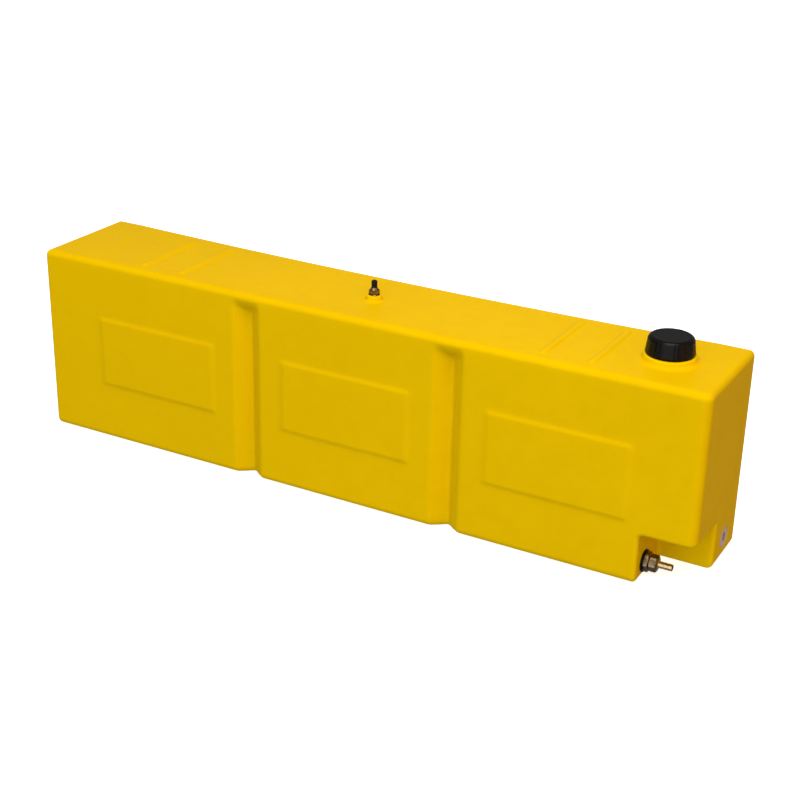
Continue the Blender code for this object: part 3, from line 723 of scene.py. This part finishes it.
class Paint:
    """A material built around one Principled shader, in the object's own metres."""

    def __init__(self, name, roughness, metallic=0.0, specular=0.5):
        self.material = bpy.data.materials.new(name)
        self.material.use_nodes = True
        self.nodes = self.material.node_tree.nodes
        self.shader = self.nodes["Principled BSDF"]
        self.set(self.shader, Roughness=roughness, Metallic=metallic, Specular_IOR_Level=specular)
        self.place = self.nodes.new("ShaderNodeTexCoord").outputs["Object"]

    def set(self, node, **values):
        for name, value in values.items():
            node.inputs[name.replace("_", " ")].default_value = value

    def join(self, output, target):
        self.material.node_tree.links.new(output, target)

    def join_or_set(self, value, socket):
        """Puts a node's output or a plain number or colour on a socket."""
        if isinstance(value, tuple):
            socket.default_value = (*value, 1.0)
        elif isinstance(value, float):
            socket.default_value = value
        else:
            self.join(value, socket)

    def stretched(self, x, y, z):
        node = self.nodes.new("ShaderNodeMapping")
        self.set(node, Scale=(x, y, z))
        self.join(self.place, node.inputs["Vector"])
        return node.outputs["Vector"]

    def apart(self, place):
        """A place's three coordinates."""
        node = self.nodes.new("ShaderNodeSeparateXYZ")
        self.join(place, node.inputs["Vector"])
        return node.outputs

    def noise(self, scale, detail=2.0, roughness=0.5, place=None):
        node = self.nodes.new("ShaderNodeTexNoise")
        self.set(node, Scale=scale, Detail=detail, Roughness=roughness)
        self.join(place or self.place, node.inputs["Vector"])
        return node.outputs["Fac"]

    def ramp(self, value, low, high, out_low=0.0, out_high=1.0):
        node = self.nodes.new("ShaderNodeMapRange")
        node.interpolation_type = "SMOOTHSTEP"
        self.set(node, From_Min=low, From_Max=high, To_Min=out_low, To_Max=out_high)
        self.join(value, node.inputs["Value"])
        return node.outputs["Result"]

    def math(self, operation, *values):
        node = self.nodes.new("ShaderNodeMath")
        node.operation = operation
        for socket, value in zip(node.inputs, values):
            self.join_or_set(value, socket)
        return node.outputs["Value"]

    def mix(self, factor, a, b):
        node = self.nodes.new("ShaderNodeMix")
        node.data_type = "RGBA"
        self.join(factor, node.inputs["Factor"])
        colours = [socket for socket in node.inputs if socket.type == "RGBA"]
        for socket, value in zip(colours, (a, b)):
            self.join_or_set(value, socket)
        return [socket for socket in node.outputs if socket.type == "RGBA"][0]

    def edges(self, low, high, strength=1.0):
        """The strength given, on outer edges and corners, and 0 on flat and hollow places."""
        geometry = self.nodes.new("ShaderNodeNewGeometry")
        return self.ramp(geometry.outputs["Pointiness"], low, high, 0.0, strength)

    def bump(self, height, distance, strength=1.0, before=None):
        node = self.nodes.new("ShaderNodeBump")
        self.set(node, Distance=distance, Strength=strength)
        self.join(height, node.inputs["Height"])
        if before is not None:
            self.join(before, node.inputs["Normal"])
        return node.outputs["Normal"]

    def finish(self, colour, roughness, normal):
        """Joins up the shader. A roughness of None leaves the shader's own."""
        self.join(colour, self.shader.inputs["Base Color"])
        if roughness is not None:
            self.join(roughness, self.shader.inputs["Roughness"])
        self.join(normal, self.shader.inputs["Normal"])
        return self.material


def polyethylene():
    """Rotomoulded yellow polyethylene: a soft sheen, an orange-peel skin, faint handling marks, and a painted
    highlight on its outer edges.
    """
    paint = Paint("polyethylene", roughness=0.46, specular=0.010)
    paint.shader.inputs["Specular Tint"].default_value = YELLOW_SHEEN
    broad = paint.noise(scale=2.6, detail=3.0)
    colour = paint.mix(paint.ramp(broad, low=0.3, high=0.7), YELLOW_DEEP, YELLOW_PLAIN)
    cloud = paint.noise(scale=38.0, detail=4.0, roughness=0.6)
    colour = paint.mix(paint.ramp(cloud, low=0.35, high=0.75, out_high=0.25), colour, YELLOW_CLOUD)
    mark = paint.noise(scale=17.0, detail=5.0, roughness=0.62)
    colour = paint.mix(paint.ramp(mark, low=0.70, high=0.80, out_high=0.30), colour, YELLOW_SMUDGE)
    # painted highlight: outer edges and corners are lightened as if lit
    colour = paint.mix(paint.edges(low=0.505, high=0.56, strength=0.5), colour, YELLOW_EDGE_HIGHLIGHT)
    patch = paint.noise(scale=60.0, detail=4.0, roughness=0.6)
    rough = paint.ramp(patch, low=0.3, high=0.7, out_low=0.38, out_high=0.50)
    skin = paint.noise(scale=260.0, detail=3.0, roughness=0.55)
    peel = paint.bump(skin, distance=0.0006, strength=0.18)
    speckle = paint.noise(scale=1700.0, detail=2.0, roughness=0.6)
    grain = paint.bump(speckle, distance=0.0001, strength=0.25, before=peel)
    return paint.finish(colour, rough, grain)


def moulded_black():
    """Injection-moulded black polypropylene with a satin skin, fine scratches and a little dust."""
    paint = Paint("black_polypropylene", roughness=0.30, specular=0.13)
    cloud = paint.noise(scale=240.0, detail=4.0, roughness=0.6)
    colour = paint.mix(paint.ramp(cloud, low=0.3, high=0.7), BLACK_DEEP, BLACK_PLAIN)
    speck = paint.noise(scale=900.0, detail=4.0, roughness=0.7)
    colour = paint.mix(paint.ramp(speck, low=0.62, high=0.78, out_high=0.4), colour, BLACK_DUST)
    rough = paint.ramp(cloud, low=0.3, high=0.7, out_low=0.24, out_high=0.36)
    scratch = paint.noise(scale=1.0, detail=3.0, roughness=0.6, place=paint.stretched(*SCUFF_SCALES))
    scuff = paint.bump(scratch, distance=0.00008, strength=0.3)
    speckle = paint.noise(scale=2600.0, detail=2.0, roughness=0.6)
    grain = paint.bump(speckle, distance=0.00006, strength=0.35, before=scuff)
    return paint.finish(colour, rough, grain)


def rubber():
    """Black rubber with a cool sheen."""
    paint = Paint("rubber", roughness=0.45, specular=0.15)
    cloud = paint.noise(scale=500.0, detail=4.0, roughness=0.6)
    colour = paint.mix(paint.ramp(cloud, low=0.3, high=0.7), RUBBER_DEEP, RUBBER_PLAIN)
    rough = paint.ramp(cloud, low=0.3, high=0.7, out_low=0.30, out_high=0.50)
    speckle = paint.noise(scale=3000.0, detail=2.0, roughness=0.6)
    return paint.finish(colour, rough, paint.bump(speckle, distance=0.00005, strength=0.5))


def brass(name, along, tail_start):
    """Turned brass, browned with age, with painted glints on its outer edges. Its tail is lighter: worn
    bright by hoses, and a painted highlight as well. `along` is its turning axis."""
    paint = Paint(name, roughness=0.28, metallic=1.0)
    cloud = paint.noise(scale=320.0, detail=5.0, roughness=0.62)
    colour = paint.mix(paint.ramp(cloud, low=0.35, high=0.7), BRASS_DEEP, BRASS_PLAIN)
    patch = paint.noise(scale=150.0, detail=4.0, roughness=0.6)
    colour = paint.mix(paint.ramp(patch, low=0.36, high=0.58, out_high=0.88), colour, BRASS_TARNISH)
    # painted glints: outer edges and corners are lightened as if catching the light
    colour = paint.mix(paint.edges(low=0.52, high=0.60, strength=0.35), colour, BRASS_EDGE_GLINT)
    position = paint.apart(paint.place)[along]
    # the tail is lighter from its neck on: worn bright by hoses, and a painted highlight along it
    worn_and_highlit = paint.ramp(position, tail_start, tail_start + TAIL_NECK_LENGTH, out_high=0.75)
    colour = paint.mix(worn_and_highlit, colour, BRASS_WORN_AND_HIGHLIT)
    rough = paint.ramp(cloud, low=0.3, high=0.7, out_low=0.14, out_high=0.32)
    scales = [BRASS_ACROSS_RINGS] * 3
    scales[along] = BRASS_ALONG_RINGS
    rings = paint.noise(scale=1.0, detail=2.0, roughness=0.5, place=paint.stretched(*scales))
    return paint.finish(colour, rough, paint.bump(rings, distance=0.00004, strength=0.5))


def foam():
    """Pale closed-cell foam."""
    paint = Paint("foam", roughness=0.85)
    cell = paint.noise(scale=1500.0, detail=3.0, roughness=0.7)
    colour = paint.mix(cell, FOAM_DEEP, FOAM_PLAIN)
    return paint.finish(colour, None, paint.bump(cell, distance=0.0002, strength=0.6))


def label_ink(paint):
    """Where the label is printed: a plain ring, and a blot of a disc inside it, both worn."""
    shift = paint.nodes.new("ShaderNodeVectorMath")
    shift.operation = "SUBTRACT"
    shift.inputs[1].default_value = middle(*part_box("round_label"))
    paint.join(paint.place, shift.inputs[0])
    parts = paint.apart(shift.outputs["Vector"])
    squares = [paint.math("MULTIPLY", parts[axis], parts[axis]) for axis in (Y, Z)]
    away = paint.math("SQRT", paint.math("ADD", *squares))
    shape = paint.noise(scale=160.0, detail=3.0)
    wobble = paint.ramp(shape, low=0.3, high=0.7, out_low=-LABEL_BLOT_WOBBLE, out_high=LABEL_BLOT_WOBBLE)
    edge = paint.math("ABSOLUTE", paint.math("SUBTRACT", away, LABEL_RING))
    ring = paint.ramp(edge, LABEL_RING_INSIDE, LABEL_RING_OUTSIDE, out_low=0.55, out_high=0.0)
    blot = paint.math("ADD", away, wobble)
    disc = paint.ramp(blot, LABEL_BLOT_INSIDE, LABEL_BLOT_OUTSIDE, out_low=1.0, out_high=0.0)
    wear = paint.noise(scale=900.0, detail=4.0, roughness=0.6)
    worn = paint.ramp(wear, low=0.35, high=0.6, out_low=0.55, out_high=1.0)
    return paint.math("MULTIPLY", paint.math("MAXIMUM", ring, disc), worn)


def label_print():
    """A pale label with marks that say nothing."""
    paint = Paint("label", roughness=0.35)
    ink = label_ink(paint)
    paper = paint.mix(paint.noise(scale=300.0), PAPER_DEEP, PAPER_PLAIN)
    colour = paint.mix(ink, paper, INK)
    return paint.finish(colour, None, paint.bump(paint.noise(scale=1200.0), distance=0.00005, strength=0.3))


# ---- the shell -------------------------------------------------------------------------------------


def around(centre, reach, spacing):
    """A grid feature that reaches this far to both sides."""
    return (centre - reach, centre + reach, spacing)


def shell_features():
    """Where the shell's grid is fine along X, Y and Z."""
    end = LENGTH / 2
    xs = [(-end, EDGE_RADIUS - end, FINE), (end - EDGE_RADIUS, end, FINE)]
    xs += [around(x, RIB_RADIUS, FINE_AT_RIBS) for x in RIB_XS]
    for x in FLUTE_XS:
        xs.append(around(x, FLUTE_HALF_WIDTH, FINE_IN_FLUTES))
        xs.append(around(x, VALLEY_HALF_WIDTH, FINE_IN_VALLEYS))
    for side in (-1, 1):
        for x in PAD_XS:
            slope_middle = x + side * PAD_WIDTH / 2
            xs.append(around(slope_middle, PAD_SIDE_SLOPE / 2, PAD_STEP))
    xs += [(NOTCH_LEFT - NOTCH_EDGE, NOTCH_LEFT + NOTCH_CORNER, FINE)]
    xs += [around(FILLER.x, FILLER_REACH, FINE_IN_BOSS), around(BREATHER.x, BREATHER_REACH, FINE)]

    ys = [(PAD_FACE, PAD_FACE + EDGE_RADIUS, FINE)]
    ys += [(PAD_FACE, FRONT + FLUTE_DEPTH + EDGE_RADIUS, FINE_AT_FRONT)]
    ys += [(BACK - EDGE_RADIUS - BACK_BOW, BACK, FINE_AT_BACK)]
    ys += [(NOTCH_BACK - NOTCH_CORNER, NOTCH_BACK + NOTCH_EDGE, FINE)]
    ys += [around(FILLER.y, FILLER_REACH, FINE_IN_BOSS), around(BREATHER.y, BREATHER_REACH, FINE)]
    for side in (-1, 1):
        ys.append(around(RIB_Y + side * (RIB_LENGTH - RIB_RADIUS) / 2, RIB_RADIUS / 2, FINE))

    zs = [(0.0, EDGE_RADIUS, FINE), (HEIGHT - EDGE_RADIUS - TOP_SAG, HEIGHT, FINE)]
    zs += [(HEIGHT - TOP_SAG, FILLER_BOSS_TOP + FINE, FINE_AT_TOP)]
    zs += [around(FLUTE_TOP - FLUTE_DEPTH / 2, FLUTE_DEPTH, FINE)]
    for side in (-1, 1):
        slope_middle = PAD_Z + side * PAD_HEIGHT / 2
        zs.append(around(slope_middle, PAD_END_SLOPE / 2, PAD_STEP))
    zs += [(NOTCH_CEILING - NOTCH_CORNER, NOTCH_CEILING + NOTCH_EDGE, FINE)]
    return xs, ys, zs


def shell_grid(features, coarse):
    beyond = Vector((2 * FINE, 2 * FINE, 2 * FINE))
    offset = Vector((GRID_OFFSET, GRID_OFFSET, GRID_OFFSET))
    low = Vector((CAD_LOW.x, CAD_LOW.y, 0.0)) - beyond - offset
    high = Vector((CAD_HIGH.x, CAD_HIGH.y, FILLER_BOSS_TOP)) + beyond
    return [grid_lines(low[i], high[i], features[i], coarse) for i in range(3)]


def plug(name, radius, low, high, at):
    """A round cutter along +Z between two heights."""
    return turned(name, [(0.0, high), (radius, high), (radius, low), (0.0, low)], at, ROUND_SIDES)


def plug_along_x(name, radius, low, high, at):
    return lay_along_x(plug(name, radius, low, high, Vector()), at)


def shell_bores():
    """The holes that the neck, the two inserts and the label sit in."""
    low = HEIGHT - DEEP_REACH
    high = HEIGHT + 2 * REACH
    neck = plug("neck_bore", NECK_THREAD_ROOT + GAP, low, high, FILLER)
    breather = plug("breather_bore", BREATHER_COLLAR_RADIUS + GAP, low, high, BREATHER)
    outlet_radius = round_size("outlet_insert", Y) + GAP
    outlet = plug_along_x("outlet_bore", outlet_radius, -DEEP_REACH, REACH, OUTLET_FACE)
    centre = middle(*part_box("round_label"))
    centre.x = LENGTH / 2
    seat = plug_along_x("label_seat", LABEL_RADIUS + GAP, -LABEL_THICKNESS - 2 * GAP, REACH, centre)
    return [neck, breather, outlet, seat]


def add_shell():
    features = shell_features()
    shell = surface_mesh("tank_moulding", shell_field, *shell_grid(features, COARSE))
    wider = [[(start, end, CAVITY_FINE) for start, end, _ in axis] for axis in features]
    cavity = surface_mesh("cavity", cavity_field, *shell_grid(wider, CAVITY_COARSE))
    boolean(shell, cavity, "DIFFERENCE")
    for tool in shell_bores():
        boolean(shell, tool, "DIFFERENCE")
    add_piece(shell, "tank", "tank_shell", YELLOW, SHELL_SHARP_ANGLE)


# ---- filler ----------------------------------------------------------------------------------------


def thread_rise(height, angle, low):
    """How far up its flank a right-hand thread stands at a height and an angle, from 0 to 1."""
    rise = 0.0
    for lap in range(math.ceil(THREAD_TURNS)):
        turns = angle / math.tau + lap
        grown = min(turns, THREAD_TURNS - turns) / THREAD_RUN_IN
        away = abs(height - low - THREAD_PITCH * turns)
        flank = (THREAD_ROOT_WIDTH / 2 - away) / (THREAD_ROOT_WIDTH - THREAD_CREST_WIDTH) * 2
        rise = max(rise, min(flank, grown, 1.0))
    return rise


def upright_line(radius, start, end):
    """Points at one radius, close enough together for a thread to be formed on them."""
    rows = round(abs(end - start) / THREAD_ROW)
    return [(radius, start + (end - start) * i / rows) for i in range(rows + 1)]


def neck_radius(radius, height, angle):
    if radius != NECK_THREAD_ROOT:
        return radius
    return radius + (NECK_THREAD_CREST - NECK_THREAD_ROOT) * thread_rise(height, angle, THREAD_LOW)


def add_filler_neck():
    seat = FILLER_BOSS_TOP + GAP
    flange_top = seat + NECK_FLANGE_THICKNESS
    round_centre = NECK_RIM - NECK_RIM_ROUND
    foot_centre = flange_top + NECK_RIM_ROUND
    inner = (NECK_BORE + NECK_RIM_ROUND, round_centre)
    outer = (NECK_THREAD_ROOT - NECK_RIM_ROUND, round_centre)
    foot = (NECK_THREAD_ROOT + NECK_RIM_ROUND, foot_centre)
    profile = arc(inner, NECK_RIM_ROUND, 180.0, 90.0, ROUND_STEPS)
    profile += arc(outer, NECK_RIM_ROUND, 90.0, 0.0, ROUND_STEPS)[:-1]
    profile += upright_line(NECK_THREAD_ROOT, round_centre, foot_centre)
    profile += arc(foot, NECK_RIM_ROUND, 180.0, 270.0, ROUND_STEPS)[1:]
    profile += [(NECK_FLANGE_RADIUS, flange_top), (NECK_FLANGE_RADIUS, seat), (NECK_THREAD_ROOT - GAP, seat)]
    profile += [(NECK_THREAD_ROOT - GAP, NECK_FOOT), (NECK_BORE, NECK_FOOT)]
    neck = turned("threaded_neck", profile, FILLER, THREAD_SIDES, neck_radius)
    add_piece(neck, "tank", "filler_neck", BLACK)


def cap_radius(radius, height, angle):
    """The bore carries the thread, and the side its grip flutes, which fade out over the shoulder."""
    if radius == CAP_BORE:
        rise = thread_rise(height, angle, THREAD_LOW + THREAD_PITCH / 2)
        return radius - (CAP_BORE - CAP_THREAD_CREST) * rise
    if radius < CAP_FLAT_RADIUS or height < CAP_RIM + CAP_RIM_ROUND / 2:
        return radius
    pitch = math.tau / CAP_FLUTES
    away = abs((angle + pitch / 2) % pitch - pitch / 2) * radius
    across = max(0.0, 1.0 - (away / CAP_FLUTE_HALF_WIDTH) ** 2)
    fading = min(1.0, (CAP_TOP - height) / CAP_SHOULDER_FALL)
    return radius - CAP_FLUTE_DEPTH * across * fading


def cap_top_line():
    """The cap's top, from its middle out: the gate's dimple, a faint dish, and the flat round it."""
    dish = CAP_TOP - CAP_DISH_DEPTH
    line = [(0.0, dish - GATE_DEPTH), (GATE_RADIUS, dish - GATE_DEPTH), (GATE_RADIUS + GATE_DEPTH, dish)]
    line += [(CAP_DISH_RADIUS * share, dish) for share in CAP_DISH_RINGS]
    line += [(CAP_DISH_RADIUS - CAP_DISH_EDGE, dish), (CAP_DISH_RADIUS, CAP_TOP)]
    return line


def cap_side_line():
    """The cap's round shoulder, and its side down to the rim."""
    shoulder_z = CAP_TOP - CAP_SHOULDER_FALL
    line = []
    for i in range(CAP_SHOULDER_STEPS + 1):
        angle = math.pi / 2 * i / CAP_SHOULDER_STEPS
        radius = CAP_FLAT_RADIUS + (CAP_SHOULDER_RADIUS - CAP_FLAT_RADIUS) * math.sin(angle)
        line.append((radius, shoulder_z + CAP_SHOULDER_FALL * math.cos(angle)))
    for i in range(1, CAP_SIDE_ROWS + 1):
        share = i / CAP_SIDE_ROWS
        radius = CAP_SHOULDER_RADIUS + (CAP_RIM_RADIUS - CAP_SHOULDER_RADIUS) * share
        line.append((radius, shoulder_z + (CAP_RIM + CAP_RIM_ROUND - shoulder_z) * share))
    return line


def add_filler_cap():
    rim_centre = (CAP_RIM_RADIUS - CAP_RIM_ROUND, CAP_RIM + CAP_RIM_ROUND)
    rim = arc(rim_centre, CAP_RIM_ROUND, 0.0, -90.0, ROUND_STEPS)[1:]
    bore = upright_line(CAP_BORE, CAP_RIM, CAP_CEILING)
    profile = cap_top_line() + cap_side_line() + rim + bore + [(0.0, CAP_CEILING)]
    cap = turned("screw_cap", profile, FILLER, CAP_SIDES, cap_radius)
    add_piece(cap, "filler_cap", "filler_cap", BLACK, CAP_SHARP_ANGLE)


# ---- brass fittings and rubber ---------------------------------------------------------------------


def hexagon(name, across_flats, low, high, at):
    """A hexagon with its corners chamfered at both ends, as turned from hexagon bar."""
    corner = across_flats / math.sqrt(3)
    face = HEX_FACE_SHARE * across_flats / 2
    fall = (corner - face) * HEX_CHAMFER_SLOPE
    bar_line = [(0.0, high), (corner, high), (corner, low), (0.0, low)]
    bar = turned(name, bar_line, at, HEX_SIDES, start=HEX_TURN)
    barrel_line = [(0.0, high), (face, high), (corner, high - fall)]
    barrel_line += [(corner, low + fall), (face, low), (0.0, low)]
    barrel = turned(name + "_barrel", barrel_line, at, ROUND_SIDES)
    return boolean(bar, barrel, "INTERSECT")


def barbs(start, end, count, radius, step):
    """The outer line of a hose tail, from its free end down: each barb rises from its root to its edge."""
    length = (start - end) / count
    root = radius - step
    line = []
    for i in range(count):
        top = start - i * length
        edge = top - BARB_RISE * length
        line += [(root, top), (radius, edge), (root, edge - BARB_FALL * length)]
    return line


def add_breather_bush():
    """The insert, with the flange that lies on the boss."""
    seat = BREATHER_BOSS_TOP + GAP
    bore = BREATHER_STEM_RADIUS + GAP
    flange_top = BREATHER_HEX_LOW - GAP
    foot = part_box("breather_insert")[0].z
    line = [(bore, flange_top), (BREATHER_FLANGE_RADIUS - GAP, flange_top)]
    line += [(BREATHER_FLANGE_RADIUS, flange_top - GAP), (BREATHER_FLANGE_RADIUS, seat)]
    line += [(BREATHER_INSERT_RADIUS, seat), (BREATHER_INSERT_RADIUS, foot), (bore, foot)]
    insert = turned("breather_bush", line, BREATHER, ROUND_SIDES)
    add_piece(insert, "tank", "breather_insert", BRASS_UP)


def add_breather_tail():
    """The hexagon, the cone on it, the hose tail, and the stem in the insert."""
    top = BREATHER_BARB_TOP
    cone_top = BREATHER_CONE_TOP
    line = [(0.0, top)] + barbs(top, cone_top, BREATHER_BARBS, BREATHER_BARB_RADIUS, BREATHER_BARB_STEP)
    line += [(BREATHER_BARB_RADIUS, cone_top), (BREATHER_CONE_TOP_RADIUS, cone_top)]
    line += [(BREATHER_CONE_FOOT_RADIUS, BREATHER_HEX_HIGH - GAP)]
    line += [(BREATHER_STEM_RADIUS, BREATHER_HEX_LOW + GAP)]
    line += [(BREATHER_STEM_RADIUS, BREATHER_STEM_FOOT), (0.0, BREATHER_STEM_FOOT)]
    fitting = turned("breather_tail", line, BREATHER, ROUND_SIDES)
    collar = hexagon("breather_hexagon", BREATHER_HEX_ACROSS, BREATHER_HEX_LOW, BREATHER_HEX_HIGH, BREATHER)
    boolean(fitting, collar, "UNION")
    drill = plug("breather_drill", BREATHER_BORE, BREATHER_STEM_FOOT - REACH, top + REACH, BREATHER)
    boolean(fitting, drill, "DIFFERENCE")
    add_piece(fitting, "tank", "breather_barb", BRASS_UP)


def add_rubber_cap():
    """The cap on the breather's tail: a crown, a straight side, and a bead round its rim."""
    crown_z = BREATHER_CAP_TOP - BREATHER_CAP_CROWN
    stretch = BREATHER_CAP_RADIUS / BREATHER_CAP_CROWN
    crown = arc((0.0, crown_z), BREATHER_CAP_CROWN, 90.0, 0.0, BREATHER_CAP_CROWN_STEPS)
    dome = [(radius * stretch, height) for radius, height in crown]
    dome[0] = (0.0, BREATHER_CAP_TOP)
    wall = BREATHER_CAP_RADIUS - BREATHER_CAP_BEAD / 4
    rim = BREATHER_CONE_TOP + GAP
    inner = BREATHER_BARB_RADIUS + GAP
    ceiling = BREATHER_BARB_TOP + GAP
    line = dome + [(wall, crown_z - BREATHER_CAP_BEAD), (wall, rim + 2 * BREATHER_CAP_BEAD)]
    line += [(BREATHER_CAP_RADIUS, rim + BREATHER_CAP_BEAD), (BREATHER_CAP_RADIUS, rim)]
    line += [(inner, rim), (inner, ceiling), (0.0, ceiling)]
    cap = turned("rubber_cap", line, BREATHER, ROUND_SIDES)
    add_piece(cap, "breather_cap", "breather_cap", RUBBER)


def add_washer():
    inner = OUTLET_THREAD_RADIUS + GAP
    low, high = GAP, GAP + WASHER_THICKNESS
    line = [(inner, high)]
    round_from = WASHER_RADIUS - WASHER_ROUND
    line += arc((round_from, high - WASHER_ROUND), WASHER_ROUND, 90.0, 0.0, WASHER_ROUND_STEPS)
    line += arc((round_from, low + WASHER_ROUND), WASHER_ROUND, 0.0, -90.0, WASHER_ROUND_STEPS)
    line += [(inner, low)]
    washer = lay_along_x(turned("sealing_washer", line, Vector(), ROUND_SIDES), OUTLET_FACE)
    add_piece(washer, "tank", "outlet_washer", RUBBER)


def add_bush():
    """The reducing bush: its hexagon, its spigot, and the stepped hole through them."""
    face = WASHER_THICKNESS + 2 * GAP
    body = hexagon("reducing_bush", BUSH_HEX_ACROSS, face, BUSH_HEX_END, Vector())
    spigot = OUTLET_THREAD_RADIUS - GAP
    boolean(body, plug("spigot", spigot, BUSH_SPIGOT_END, face + GAP, Vector()), "UNION")
    socket_floor = BUSH_HEX_END - BUSH_SOCKET_DEPTH
    top = BUSH_HEX_END + REACH
    hole = [(0.0, top), (BUSH_SOCKET_RADIUS, top), (BUSH_SOCKET_RADIUS, socket_floor)]
    hole += [(BUSH_BORE, socket_floor), (BUSH_BORE, -DEEP_REACH), (0.0, -DEEP_REACH)]
    boolean(body, turned("bush_hole", hole, Vector(), ROUND_SIDES), "DIFFERENCE")
    add_piece(lay_along_x(body, OUTLET_FACE), "tank", "outlet_bush", BRASS_ALONG)


def add_hose_tail():
    """The hose tail: a spigot in the bush, a hexagon, a short neck, and the barbs."""
    face = BUSH_HEX_END + GAP
    spigot = BUSH_SOCKET_RADIUS - GAP
    spigot_end = BUSH_HEX_END - BUSH_SOCKET_DEPTH + 4 * GAP
    body = hexagon("hose_tail", TAIL_HEX_ACROSS, face, TAIL_HEX_END, Vector())
    root = TAIL_HEX_END + TAIL_NECK_LENGTH
    line = [(0.0, TAIL_END)] + barbs(TAIL_END, root, TAIL_BARBS, TAIL_RADIUS, TAIL_BARB_STEP)
    line += [(TAIL_RADIUS, root), (TAIL_NECK_RADIUS, TAIL_HEX_END), (TAIL_NECK_RADIUS, TAIL_HEX_END - GAP)]
    line += [(spigot, face + GAP), (spigot, spigot_end), (0.0, spigot_end)]
    boolean(body, turned("tail_stem", line, Vector(), ROUND_SIDES), "UNION")
    boolean(body, plug("tail_drill", TAIL_BORE, -REACH, TAIL_END + REACH, Vector()), "DIFFERENCE")
    add_piece(lay_along_x(body, OUTLET_FACE), "tank", "outlet_hose_tail", BRASS_ALONG)


YELLOW = polyethylene()
BLACK = moulded_black()
RUBBER = rubber()
BRASS_UP = brass("brass_upright", Z, BREATHER_CONE_TOP)
BRASS_ALONG = brass("brass_along", X, OUTLET_FACE.x + TAIL_HEX_END)
FOAM = foam()
LABEL = label_print()

add_shell()
add_filler_neck()
add_filler_cap()
add_breather_bush()
add_breather_tail()
add_rubber_cap()
add_washer()
add_bush()
add_hose_tail()
dress("cap_gasket", FOAM)
dress("outlet_insert", BRASS_ALONG)
dress("round_label", LABEL)

add_camera()
add_studio()
